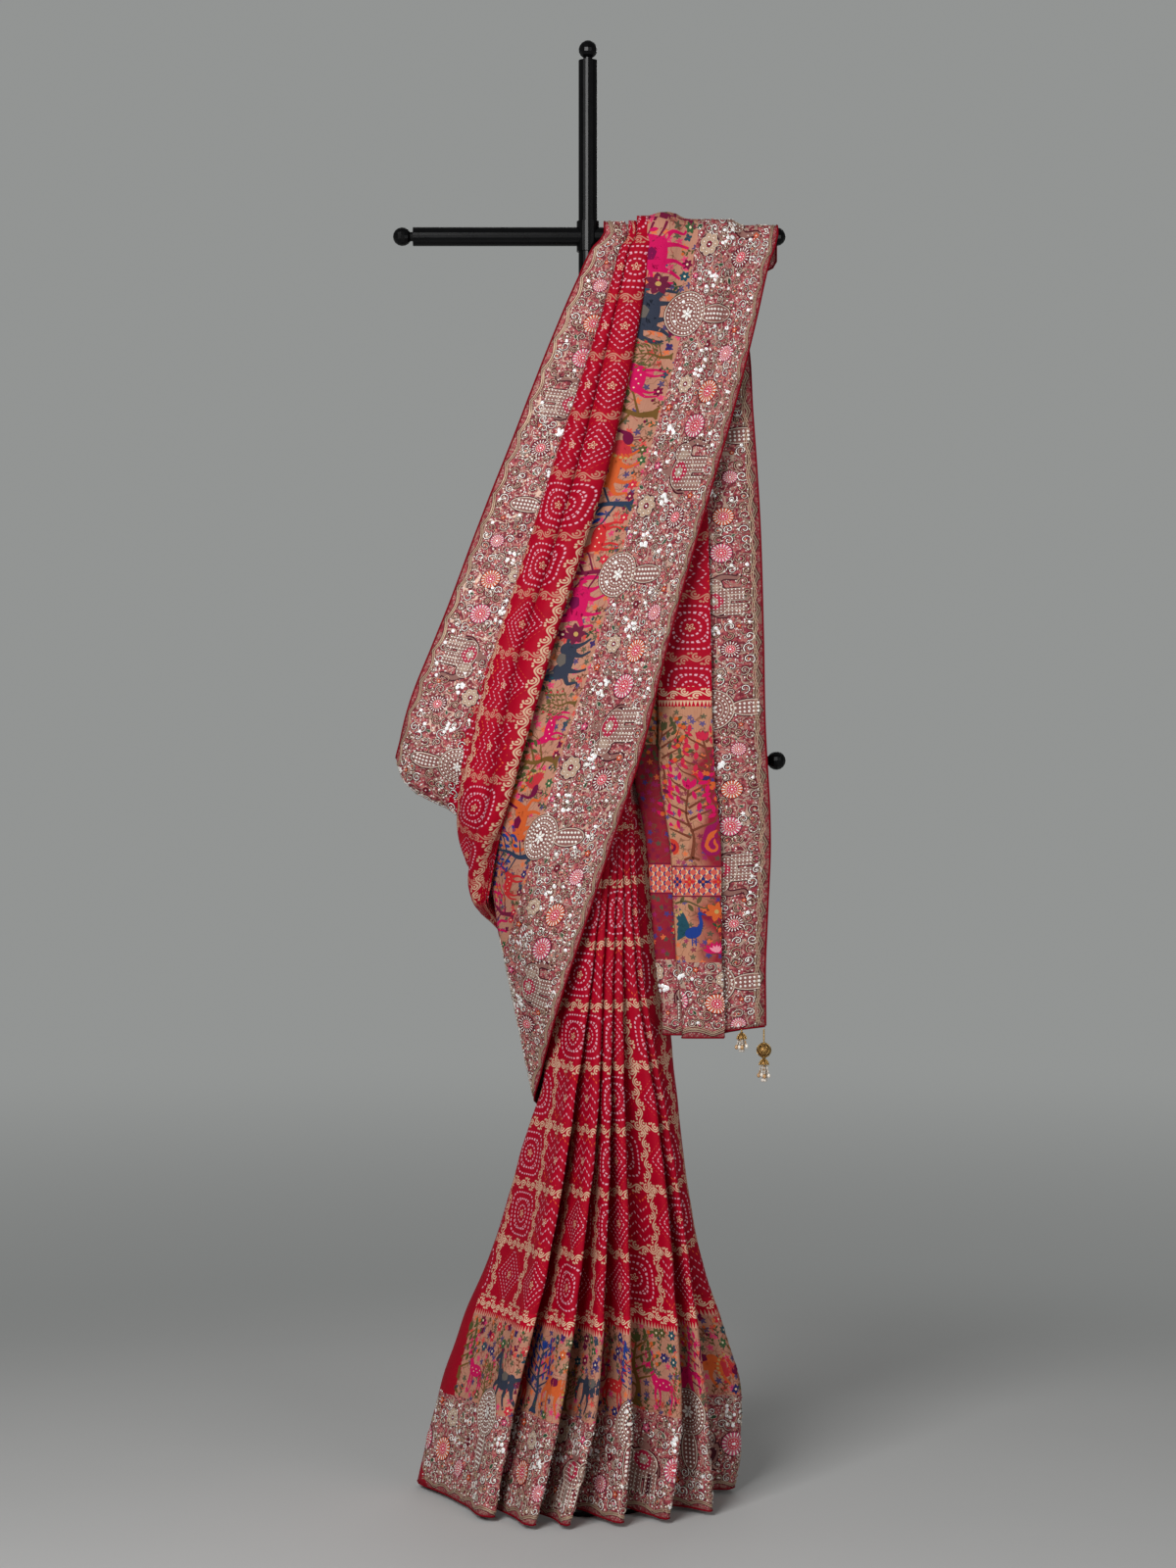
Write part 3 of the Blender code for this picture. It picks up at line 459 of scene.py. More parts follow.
SKIRT_RIBS = len(skirt_section(0.3))


def edge_strip(ribs, edge, gap, width):
    """Two lines beside an edge of the grid, in the cloth's own surface."""
    out = []
    i, j = (0, 1) if edge == "lower" else (-1, -2)
    for k, r in enumerate(ribs):
        p, q = r[i], r[j]
        t = unit(add(ribs[min(k + 1, len(ribs) - 1)][i], ribs[max(k - 1, 0)][i], -1))
        d = add(p, q, -1)
        if k < SKIRT_RIBS - 1:
            d = unit(d)
        else:
            d = unit(add(d, t, -sum(a * b for a, b in zip(d, t))))
        out.append([add(p, d, gap), add(p, d, gap + width)])
    return out



# ------------------------------------------------------------ the fine cloth
# Points added to each rib inside the gathered folds: after this column, so many.
EXTRA = (("Da", 4), ("Ca", 4), ("Ba", 4))
SILK = 0.0006            # thickness of the cloth as it shows
COLS = []
for _n in NAMES:
    COLS.append(_n)
    for _c, _k in EXTRA:
        if _c == _n:
            COLS += [_n.lower() + str(i + 1) for i in range(_k)]
CI = {n: i for i, n in enumerate(COLS)}


def spread(rib):
    """A rib of the solid's columns with the added points spread evenly."""
    out = []
    for i, name in enumerate(NAMES):
        out.append(tuple(rib[i]))
        for c, k in EXTRA:
            if c == name:
                out += [lerp(rib[i], rib[i + 1], (m + 1) / (k + 1)) for m in range(k)]
    return out


def gathered(a, n, g):
    """layered(), with the cloth's own layers lying inside the two ridges."""
    rib = spread(layered(a, n, g))
    D, C, B = a["D"], a["C"], a["B"]
    # name of the point before, far end, near end, heights in layers
    for key, near, far, heights in (("da", D, C, (1.45, 1.60, 1.75, 1.90)),
                                    ("ca", C, D, (3.88, 3.76, 3.62, 3.48)),
                                    ("ba", B, C, (1.92, 1.78, 1.64, 1.50))):
        for m, h in enumerate(heights):
            t = 0.90 if m in (0, 1) else 0.08
            if key != "da":
                t = (0.88, 0.88, 0.08, 0.08)[m]
            rib[CI[key + str(m + 1)]] = add(lerp(near, far, t), n, h * g)
    return rib


def fine_back():
    out = []
    for x in BACK_AT:
        a, g, n = back_anchor(x)
        lay0 = spread(layered(a, n, 0.0))
        lay1 = gathered(a, n, LAYER * min(1.0, g / 0.30))
        base = spread(flat(a, n))
        s = smooth(0.55, 1.0, g)
        rib = []
        for i, (p, q, r) in enumerate(zip(base, lay0, lay1)):
            low = COLS[i] if COLS[i][0].islower() and COLS[i][-1].isdigit() else None
            if low:
                off = lerp((0, 0, 0), add(r, q, -1), s)
                rib.append(add(lerp(p, q, g), off))
            else:
                rib.append(add(lerp(p, q, g), add(r, q, -1)))
        out.append(rib)
    return out


def fine_swath():
    out = []
    for f in SWATH_AT:
        a = swath_anchor(f)
        turn = smooth(0.86, 1.0, f)
        n = unit((-turn, -(1 - turn), 0.0))
        out.append(gathered(a, n, LAYER * (0.75 + 0.25 * smooth(0.0, 0.3, f))))
    return out


def fine_arm():
    a = {k: (v[0][0], 0.0, 0.0) for k, v in SWATH.items()}
    sec = gathered(a, (0.0, 1.0, 0.0), LAYER * 0.75)
    out = []
    for deg in (0, 30, 60, 90, 120, 150, 180):
        t = math.radians(deg)
        out.append([(p[0], -(DRAPE_R + p[1]) * math.cos(t), ARM_UP_Z + (DRAPE_R + p[1]) * math.sin(t)) for p in sec])
    return out


# The hanging end's plan section with all its layers: column, across, depth.
END_FINE = (
    ("F", 0.60, 0.0152), ("F2", 0.36, 0.0152), ("E", 0.13, 0.0150), ("A2", 0.13, 0.0134),
    ("T1a", 0.50, 0.0132), ("T1b", 0.85, 0.0130), ("Da", 0.85, 0.0114),
    ("da1", 0.50, 0.0112), ("da2", 0.13, 0.0110), ("da3", 0.13, 0.0094), ("da4", 0.50, 0.0092),
    ("Db", 0.85, 0.0090), ("Rm", 0.85, 0.0074), ("Ca", 0.50, 0.0072),
    ("ca1", 0.13, 0.0070), ("ca2", 0.13, 0.0054), ("ca3", 0.50, 0.0052), ("ca4", 0.88, 0.0050),
    ("Cb", 0.88, 0.0034), ("T2a", 0.40, 0.0032), ("T2b", 0.03, 0.0030), ("M0", 0.00, 0.0000),
    ("M1", 0.03, -0.0036), ("M2", 0.25, -0.0060), ("Ba", 0.45, -0.0062),
    ("ba1", 0.45, -0.0078), ("ba2", 0.23, -0.0084), ("ba3", 0.185, -0.0096), ("ba4", 0.20, -0.0124),
    ("Bb", 0.42, -0.0134), ("T3a", 0.60, -0.0122), ("T3b", 0.595, -0.0100),
    ("Bu", 0.34, -0.0050), ("Bm", 0.34, -0.0034), ("A", 1.00, 0.0000),
)


def fine_end(rear):
    keys = [-r[0] for r in END_LEVELS]

    def section(z):
        xl, xr, y0, k = curve(keys, [r[1:] for r in END_LEVELS], -z)
        return [(xl + (xr - xl) * c[1], y0 + c[2] * max(k, 0.8), z) for c in END_FINE]

    goal = section(1.540)
    out = []
    for z, t, d, border in TURN_OVER:
        rib = [(p[0] + (q[0] - p[0]) * t, p[1] + (q[1] - p[1]) * d, z) for p, q in zip(rear, goal)]
        if border:
            rib[-4:] = [(x, y, z) for x, y in border]
        out.append(rib)
    for r in END_LEVELS:
        out.append(section(r[0]))
    last = []
    for c, p in zip(END_FINE, section(0.645)):
        z = END_HEM["left"] + (END_HEM["right"] - END_HEM["left"]) * smooth(0.5, 0.66, c[1])
        if c[0] in ("Ba", "ba1", "ba2", "ba3", "ba4", "Bb", "T3a"):
            z = END_HEM["fold"]
        last.append((p[0], p[1], z))
    out.append(last)
    return out


SKIRT = [spread(r) for r in skirt_ribs()]
BACKR = fine_back()
SWATHR = fine_swath()
ARMR = fine_arm()
ENDR = fine_end(ARMR[-1])
CONTROL = np.array(SKIRT + BACKR + SWATHR + ARMR + ENDR)
R_BACK = len(SKIRT)
R_SWATH = R_BACK + len(BACKR)
R_ARM = R_SWATH + len(SWATHR)
R_END = R_ARM + len(ARMR)
NR, NCOL = CONTROL.shape[:2]


# --- where each point lies on the printed cloth: metres along, metres across
def tips():
    """Index in the skirt's section of each fold's first and last rib."""
    idx, k = {}, 0
    for i, row in enumerate(FOLDS):
        if i:
            k += 2 if row[1] == "f" or row[0] == "F7" else 1
        n = 1 if row[1] == "e" else 2
        idx[row[0]] = (k, k + n - 1)
        k += n
    return idx


TIP = tips()
assert TIP["F7"][1] + 1 == R_BACK
TU = np.zeros((NR, NCOL))
TV = np.zeros((NR, NCOL))
vs = {n: v for n, v in COLUMNS}
base_v = np.array([p[0] for p in spread([(v, 0, 0) for v in VS])])
seg = np.linalg.norm(np.diff(CONTROL[:R_BACK], axis=0), axis=2)
seg = np.vstack([seg, seg[-1:]])
hem_col = CI["E"]
cum = np.concatenate([[0], np.cumsum(seg[:R_BACK - 1, hem_col])])
for j in range(NCOL):
    TV[:R_BACK, j] = base_v[j]
    cj = np.concatenate([[0], np.cumsum(seg[:R_BACK - 1, j])])
    # true distances on both sides of each front fold; the back folds take up
    # what is left
    names = [r[0] for r in FOLDS if r[1] == "f" or r[0] == "F7"]
    prev_end = 0
    for name in names:
        t0, t1 = TIP[name]
        mid = 0.5 * (cj[t0] + cj[t1])
        umid = 0.5 * (cum[t0] + cum[t1])
        nxt = "B" + name[1:]
        stop = TIP[nxt][0] + 1 if nxt in TIP else R_BACK
        for r in range(prev_end, stop):
            TU[r, j] = umid + (cj[r] - mid)
        prev_end = stop
U_F1 = 0.5 * (cum[TIP["F1"][0]] + cum[TIP["F1"][1]])
U_PLAIN = U_F1 - 0.163
U_SKIRT_END = cum[-1]
U_LEFT = float(cum[TIP["L0"][0]])

# back: carries on from the skirt along every column
d = np.linalg.norm(np.diff(CONTROL[R_BACK - 1:R_SWATH], axis=0), axis=2)
run = TU[R_BACK - 1] + np.cumsum(d, axis=0)
TU[R_BACK:R_SWATH] = run
TV[R_BACK:R_SWATH] = base_v[None, :]
# front swath: measured down from the upper arm, so that it reads true there
U_ARM = 4.60
body = CONTROL[R_SWATH:R_ARM + 1]
d = np.linalg.norm(np.diff(body, axis=0), axis=2)
below = np.flip(np.cumsum(np.flip(d, axis=0), axis=0), axis=0)
lead = {}
for j in range(NCOL):
    TU[R_SWATH:R_ARM, j] = U_ARM - below[:, j]
# each ridge's layers and the crest they go with; this loop changes nothing
for group, ref in ((("T1a", "Da", "da4", "Db"), "Db"), (("T2a", "T2b", "M0"), "M0"), (("T3a", "T3b", "Bu"), "Bu")):
    pass
arm_d = np.linalg.norm(np.diff(CONTROL[R_ARM:R_END], axis=0), axis=2)
TU[R_ARM:R_END] = U_ARM + np.vstack([np.zeros(NCOL), np.cumsum(arm_d, axis=0)])
for r in range(R_SWATH, R_END):
    P = CONTROL[r]

    def dist(a, b):
        return float(np.linalg.norm(P[CI[a]] - P[CI[b]]))

    def between(a, b):
        i, j = CI[a], CI[b]
        s = np.concatenate([[0], np.cumsum(np.linalg.norm(np.diff(P[i:j + 1], axis=0), axis=1))])
        return i, j, s

    row = base_v.copy()
    i, j, s = between("F", "E")
    row[i:j + 1] = s / s[-1] * 0.130
    i, j, s = between("E", "T1a")
    k = min(1.0, 0.126 / max(s[-1], 1e-6))
    row[i:j + 1] = 0.130 + s * max(k, 0.0)
    i, j, s = between("Db", "Ca")
    row[i:j + 1] = 0.383 + (s - s[-1] / 2)
    i, j, s = between("M0", "Ba")
    row[i:j + 1] = 0.629 + (s - s[-1] / 2)
    i, j, s = between("Bu", "A")
    row[i:j + 1] = 1.12 - (s[-1] - s) * min(1.0, 0.105 / s[-1])
    # hidden stretches run evenly between the shown ones
    for a, b in (("T1a", "Db"), ("Ca", "M0"), ("Ba", "Bu")):
        i, j = CI[a], CI[b]
        row[i:j + 1] = np.linspace(row[i], row[j], j - i + 1)
    TV[r] = row
# blend the printed places over the turn at the lower left
for n_, r in enumerate(range(R_BACK, R_SWATH)):
    g = back_anchor(BACK_AT[n_])[1]
    TV[r] = base_v * (1 - g) + TV[R_SWATH] * g

# the hanging end: height above its own end, and its own distances across
EE = np.full((NR, NCOL), 3.0)
end_z = CONTROL[-1, :, 2]
w_end = 0.165
for r in range(R_END, NR):
    row = base_v.copy()
    P = CONTROL[r]

    def back_from(a, b, value, sign):
        i, j = CI[a], CI[b]
        s = np.concatenate([[0], np.cumsum(np.linalg.norm(np.diff(P[i:j + 1], axis=0), axis=1))])
        return i, j, value - (s[-1] - s) if sign > 0 else value + s

    i, j, q = back_from("Bm", "A", 1.120, 1)
    row[i:j + 1] = q
    i, j, q = back_from("ba3", "T3a", 0.985, 1)
    row[i:j + 1] = q
    i, j, q = back_from("T2b", "Ba", 0.880, 1)
    row[i:j + 1] = q
    i, j = CI["F"], CI["T2b"]
    s = np.concatenate([[0], np.cumsum(np.linalg.norm(np.diff(P[i:j + 1], axis=0), axis=1))])
    row[i:j + 1] = s * min(1.0, row[j] / s[-1])
    for a, b in (("Ba", "ba3"), ("T3a", "Bm")):
        i, j = CI[a], CI[b]
        row[i:j + 1] = np.linspace(row[i], row[j], j - i + 1)
    TV[r] = row
    EE[r] = np.maximum(P[:, 2] - end_z, 0.0)
    TU[r] = 6.4 - EE[r]
for n_, r in enumerate(range(R_ARM, R_END)):
    EE[r] = 1.06 + 0.004 * (R_END - r)


# --- the surface between the control points
def slopes(K, X):
    """Limited slopes at each key: K (L, n), X (L, n, c)."""
    h = np.diff(K, axis=1)[..., None]
    dd = np.diff(X, axis=1) / np.maximum(h, 1e-9)
    m = np.zeros_like(X)
    m[:, 0], m[:, -1] = dd[:, 0], dd[:, -1]
    a, b = dd[:, :-1], dd[:, 1:]
    wa, wb = h[:, 1:], h[:, :-1]
    mm = (a * wa + b * wb) / np.maximum(wa + wb, 1e-9)
    lim = 2.5 * np.minimum(np.abs(a), np.abs(b))
    mm = np.clip(mm, -lim, lim)
    mm[a * b <= 0] = 0
    m[:, 1:-1] = mm
    return m


def refine(K, X, subs):
    """Cubic points between the keys, subs[i] of them for each span."""
    m = slopes(K, X)
    cols, where = [], []
    n = X.shape[1]
    for i in range(n - 1):
        h = (K[:, i + 1] - K[:, i])[:, None]
        for q in range(subs[i]):
            t = q / subs[i]
            cols.append(X[:, i] * (2 * t ** 3 - 3 * t ** 2 + 1) + m[:, i] * h * (t ** 3 - 2 * t ** 2 + t)
                        + X[:, i + 1] * (3 * t ** 2 - 2 * t ** 3) + m[:, i + 1] * h * (t ** 3 - t ** 2))
            where.append(i + t)
    cols.append(X[:, -1])
    where.append(n - 1.0)
    return np.stack(cols, axis=1), np.array(where)


def straight(X, where):
    """Even values at the same fractional places along axis 1."""
    i = np.minimum(where.astype(int), X.shape[1] - 2)
    t = (where - i)[None, :]
    return X[:, i] * (1 - t) + X[:, i + 1] * t


def chord(X):
    d = np.maximum(np.linalg.norm(np.diff(X, axis=1), axis=2), 1e-5)
    return np.concatenate([np.zeros((X.shape[0], 1)), np.cumsum(d, axis=1)], axis=1)


across = np.linalg.norm(np.diff(CONTROL, axis=1), axis=2)
V_SUBS = [max(1, int(math.ceil(np.percentile(across[:, j], 88) / 0.0150))) for j in range(NCOL - 1)]
for j in range(NCOL - 1):
    if COLS[j][:2] in ("da", "ca", "ba") and COLS[j][-1].isdigit():
        V_SUBS[j] = min(V_SUBS[j], 2)
along = np.linalg.norm(np.diff(CONTROL, axis=0), axis=2)
U_SUBS = [max(1, int(math.ceil(np.percentile(along[k], 80) / 0.0135))) for k in range(NR - 1)]
for k in range(R_BACK - 1):
    U_SUBS[k] = max(U_SUBS[k], 2)
G, at_v = refine(chord(CONTROL), CONTROL, V_SUBS)
GU, GV, GE = (straight(X, at_v) for X in (TU, TV, EE))
Gt, at_u = refine(chord(G.transpose(1, 0, 2)), G.transpose(1, 0, 2), U_SUBS)
GRID = Gt.transpose(1, 0, 2)
GU, GV, GE = (straight(X.T, at_u).T for X in (GU, GV, GE))
FR, FC = GRID.shape[:2]


def fine_row(r):
    """Fine row of a control rib."""
    return int(sum(U_SUBS[:r]))


def fine_col(name):
    return int(sum(V_SUBS[:CI[name]]))


def normals(P):
    du = np.gradient(P, axis=0)
    dv = np.gradient(P, axis=1)
    n = np.cross(du, dv)
    return n / np.maximum(np.linalg.norm(n, axis=2, keepdims=True), 1e-12)


# soft creases and slubs of hanging silk, none deeper than about a millimetre
def creases(P, U, V):
    a = 0.00045 * np.sin(U * 97 + 2.1 * np.sin(V * 17)) + 0.00035 * np.sin(U * 41 + V * 63 + 1.3 * np.sin(U * 23))
    a += 0.0003 * np.sin(V * 88 + 1.7 * np.sin(U * 31))
    return a


# the two gathered ridges stand up as rounded rolls between dark valleys
def rolls(P, n):
    r0, r1 = fine_row(R_SWATH - 3), fine_row(R_END - 1)
    rise = np.zeros(FR)
    rise[r0:r1 + 1] = np.minimum(np.linspace(0, 4, r1 - r0 + 1), 1.0)
    over = np.interp(np.arange(FR), [fine_row(R_ARM - 4), fine_row(R_ARM - 1), fine_row(R_ARM + 2), r1], [1.0, 0.1, -0.75, 0.0])
    rise *= over
    level = np.interp(np.arange(FR), [fine_row(R_ARM - 5), fine_row(R_ARM), fine_row(R_ARM + 2), r1], [0.0, 1.0, 1.0, 0.0])
    out = P.copy()
    for a, b, h in (("Db", "Ca", ROLL_H[0]), ("M0", "Ba", ROLL_H[1])):
        i, j = fine_col(a), fine_col(b)
        s = np.concatenate([np.zeros((FR, 1)), np.cumsum(np.linalg.norm(np.diff(P[:, i:j + 1], axis=1), axis=2), axis=1)], axis=1)
        t = s / np.maximum(s[:, -1:], 1e-6)
        q = np.clip(4 * t * (1 - t), 0, 1) ** 0.7
        side = n[:, (i + j) // 2][:, None]
        out[:, i:j + 1] += side * (q * (h * rise)[:, None])[..., None]
    # the brocade beside them lies in soft shallow waves
    i, j = fine_col("F2"), fine_col("T1a")
    u = GU[:, i:j + 1]
    t = np.linspace(0, 1, j - i + 1)[None]
    out[:, i:j + 1] += n[:, i:j + 1] * (0.0016 * np.sin(u * 21 + 5 * t) * np.sin(math.pi * t) * rise[:, None] + level[:, None] * (0.0090 * (1 - 0.4 * t) + 0.0130 * np.exp(-((t - 0.76) / 0.17) ** 2)) * np.clip(6 * np.sin(math.pi * t), 0, 1))[..., None]
    i, j = fine_col("Bu"), FC - 1
    t = np.linspace(0, 1, j - i + 1)[None]
    out[:, i:j + 1] += n[:, i:j + 1] * (0.0055 * level[:, None] * np.clip(5 * t, 0, 1))[..., None]
    return out


ROLL_H = (0.0095, 0.0085)
NORM = normals(GRID)
GRID = rolls(GRID, NORM)
NORM = normals(GRID)
free = np.ones((FR, FC))
r0, r1 = fine_row(R_SWATH), fine_row(R_END - 1)
free[r0:] = 0.35
GRID = GRID + NORM * (creases(GRID, GU, GV) * free)[..., None]
NORM = normals(GRID)
print("fine cloth", FR, "x", FC, "=", FR * FC, "points,", 4 * (FR - 1) * (FC - 1), "triangles with thickness")


def grid_mesh(name, P, U, V, E):
    me = bpy.data.meshes.new(name)
    n, m = P.shape[:2]
    idx = np.arange(n * m).reshape(n, m)
    quads = np.stack([idx[:-1, :-1], idx[1:, :-1], idx[1:, 1:], idx[:-1, 1:]], axis=-1).reshape(-1, 4)
    me.from_pydata(P.reshape(-1, 3).tolist(), [], quads.tolist())
    uv = me.uv_layers.new(name="cloth")
    uv2 = me.uv_layers.new(name="end")
    li = quads.reshape(-1)
    uv.data.foreach_set("uv", np.stack([U.reshape(-1)[li], V.reshape(-1)[li]], axis=1).astype(np.float32).reshape(-1))
    uv2.data.foreach_set("uv", np.stack([E.reshape(-1)[li], np.zeros(len(li))], axis=1).astype(np.float32).reshape(-1))
    me.shade_smooth()
    ob = bpy.data.objects.new(name, me)
    bpy.context.scene.collection.objects.link(ob)
    return ob


cloth = grid_mesh("cloth_drape", GRID, GU, GV, GE)
_area = 0.0
_a, _b, _c, _d = GRID[:-1, :-1], GRID[1:, :-1], GRID[1:, 1:], GRID[:-1, 1:]
cell = 0.5 * np.linalg.norm(np.cross(_c - _a, _d - _b), axis=2)
CLOTH_AREA = float(cell.sum())
len_low = float(np.linalg.norm(np.diff(GRID[:, 0], axis=0), axis=1).sum())
len_up = float(np.linalg.norm(np.diff(GRID[:, -1], axis=0), axis=1).sum())
print("cloth area %.3f m2, length lower edge %.3f, upper edge %.3f" % (CLOTH_AREA, len_low, len_up))
for nm, ra, rb in (("skirt", 0, R_BACK), ("back", R_BACK, R_SWATH), ("swath", R_SWATH, R_ARM), ("end", R_END, NR - 1)):
    a0, a1 = fine_row(ra), fine_row(min(rb, NR - 1))
    w = np.linalg.norm(np.diff(GRID[a0:a1 + 1], axis=1), axis=2).sum(axis=1)
    print("  width across in", nm, "%.2f to %.2f" % (w.min(), w.max()), "area %.2f" % cell[a0:a1].sum())

# ---------------------------------------------------------------- materials
class N:
    """A node socket that can be added, multiplied and compared."""
    tree = None

    def __init__(self, s):
        self.s = s

    @staticmethod
    def math(op, *args):
        n = N.tree.nodes.new("ShaderNodeMath")
        n.operation = op
        for i, a in enumerate(args):
            if isinstance(a, N):
                N.tree.links.new(a.s, n.inputs[i])
            else:
                n.inputs[i].default_value = float(a)
        return N(n.outputs[0])

    def __add__(self, o): return N.math("ADD", self, o)
    __radd__ = __add__
    def __sub__(self, o): return N.math("SUBTRACT", self, o)
    def __rsub__(self, o): return N.math("SUBTRACT", o, self)
    def __mul__(self, o): return N.math("MULTIPLY", self, o)
    __rmul__ = __mul__
    def __truediv__(self, o): return N.math("DIVIDE", self, o)
    def __neg__(self): return N.math("MULTIPLY", self, -1.0)


def gt(a, b): return N.math("GREATER_THAN", a, b)
def lt(a, b): return N.math("LESS_THAN", a, b)
def nabs(a): return N.math("ABSOLUTE", a)
def nfloor(a): return N.math("FLOOR", a)
def fract(a): return N.math("FRACT", a)
def nsin(a): return N.math("SINE", a)
def ncos(a): return N.math("COSINE", a)
def nmin(a, b): return N.math("MINIMUM", a, b)
def nmax(a, b): return N.math("MAXIMUM", a, b)
def root(a): return N.math("SQRT", a)
def band(x, lo, hi): return gt(x, lo) * lt(x, hi)
def ring(d, w): return lt(nabs(d), w)


def soft(d, w, e):
    """1 inside |d| < w, falling to 0 over e."""
    m = N.tree.nodes.new("ShaderNodeMapRange")
    m.interpolation_type = "SMOOTHSTEP"
    N.tree.links.new(nabs(d).s, m.inputs["Value"])
    m.inputs["From Min"].default_value = w + e
    m.inputs["From Max"].default_value = max(w - e, 0.0)
    return N(m.outputs["Result"])


def vec(x, y, z=0.0):
    n = N.tree.nodes.new("ShaderNodeCombineXYZ")
    for i, a in enumerate((x, y, z)):
        if isinstance(a, N):
            N.tree.links.new(a.s, n.inputs[i])
        else:
            n.inputs[i].default_value = a
    return N(n.outputs[0])


def noise(v, scale, detail=3.0, rough=0.55, kind="Fac"):
    n = N.tree.nodes.new("ShaderNodeTexNoise")
    N.tree.links.new(v.s, n.inputs["Vector"])
    n.inputs["Scale"].default_value = scale
    n.inputs["Detail"].default_value = detail
    n.inputs["Roughness"].default_value = rough
    return N(n.outputs[kind])


def hashed(v):
    n = N.tree.nodes.new("ShaderNodeTexWhiteNoise")
    n.noise_dimensions = "3D"
    N.tree.links.new(v.s, n.inputs["Vector"])
    return N(n.outputs["Value"]), N(n.outputs["Color"])


def cells(v, scale, jitter=1.0, dims="2D"):
    n = N.tree.nodes.new("ShaderNodeTexVoronoi")
    n.voronoi_dimensions = dims
    N.tree.links.new(v.s, n.inputs["Vector"])
    n.inputs["Scale"].default_value = scale
    n.inputs["Randomness"].default_value = jitter
    return N(n.outputs["Distance"]), N(n.outputs["Color"])


def rgb(c):
    n = N.tree.nodes.new("ShaderNodeRGB")
    n.outputs[0].default_value = (*c, 1.0)
    return N(n.outputs[0])


def lin(r, g, b):
    """Screen colour (0-255) to the linear colour that nodes use."""
    return tuple(((c / 255 + 0.055) / 1.055) ** 2.4 if c > 10 else c / 255 / 12.92 for c in (r, g, b))


def mix(a, b, f, kind="MIX"):
    n = N.tree.nodes.new("ShaderNodeMix")
    n.data_type = "RGBA"
    n.blend_type = kind
    n.clamp_factor = True
    for sock, x in ((n.inputs[6], a), (n.inputs[7], b)):
        if isinstance(x, N):
            N.tree.links.new(x.s, sock)
        else:
            sock.default_value = (*x, 1.0)
    if isinstance(f, N):
        N.tree.links.new(f.s, n.inputs[0])
    else:
        n.inputs[0].default_value = f
    return N(n.outputs[2])


def split(v):
    n = N.tree.nodes.new("ShaderNodeSeparateXYZ")
    N.tree.links.new(v.s, n.inputs[0])
    return [N(o) for o in n.outputs]


def uvs(name):
    n = N.tree.nodes.new("ShaderNodeUVMap")
    n.uv_map = name
    return split(N(n.outputs[0]))


def place_vec(kind="Object"):
    n = N.tree.nodes.new("ShaderNodeTexCoord")
    return N(n.outputs[kind])


def new_mat(name):
    m = bpy.data.materials.new(name)
    m.use_nodes = True
    N.tree = m.node_tree
    return m, m.node_tree.nodes["Principled BSDF"]


def put(bsdf, **sockets):
    for k, v in sockets.items():
        s = bsdf.inputs[k.replace("_", " ")]
        if isinstance(v, N):
            N.tree.links.new(v.s, s)
        elif isinstance(v, tuple):
            s.default_value = (*v, 1.0)
        else:
            s.default_value = v


def bump(bsdf, height, strength=0.3, distance=0.0006):
    n = N.tree.nodes.new("ShaderNodeBump")
    n.inputs["Strength"].default_value = strength
    n.inputs["Distance"].default_value = distance
    N.tree.links.new(height.s, n.inputs["Height"])
    N.tree.links.new(n.outputs[0], bsdf.inputs["Normal"])


CELL = 0.082              # the tie-dyed check
CRIMSON, DEEP = lin(182, 0, 36), lin(140, 0, 28)
TAN, TAN_D = lin(228, 196, 164), lin(200, 156, 130)
DOT, DOT_O = lin(240, 192, 208), lin(242, 112, 62)
BROCADE = lin(198, 144, 120)


def scroll(c, along):
    """A running scroll: c is the distance from its middle line."""
    P = CELL / 3
    wave = 0.0034 * nsin(along * (6.28318 / P))
    stem = soft(c - wave, 0.0009, 0.0004)
    s = (fract(along / (P / 2)) - 0.5) * (P / 2)
    flip = 1 - 2 * nfloor(fract(along / P) * 2)
    dc = c + flip * 0.0030
    curl = root(s * s + dc * dc)
    gap = 1 - gt(s, 0.0008) * lt(dc * flip, 0.0)
    curls = soft(curl - 0.0038, 0.0009, 0.0004) * gap + soft(curl - 0.0004, 0.0011, 0.0004)
    lf = root((s - 0.0052) * (s - 0.0052) + (c - flip * 0.0066) * (c - flip * 0.0066) * 1.4)
    lf2 = root((s + 0.0052) * (s + 0.0052) * 1.4 + (c + flip * 0.0072) * (c + flip * 0.0072))
    return nmin(stem + curls + soft(lf, 0.0018, 0.0004) + soft(lf2, 0.0014, 0.0004), 1.0) * lt(nabs(c), 0.0090)


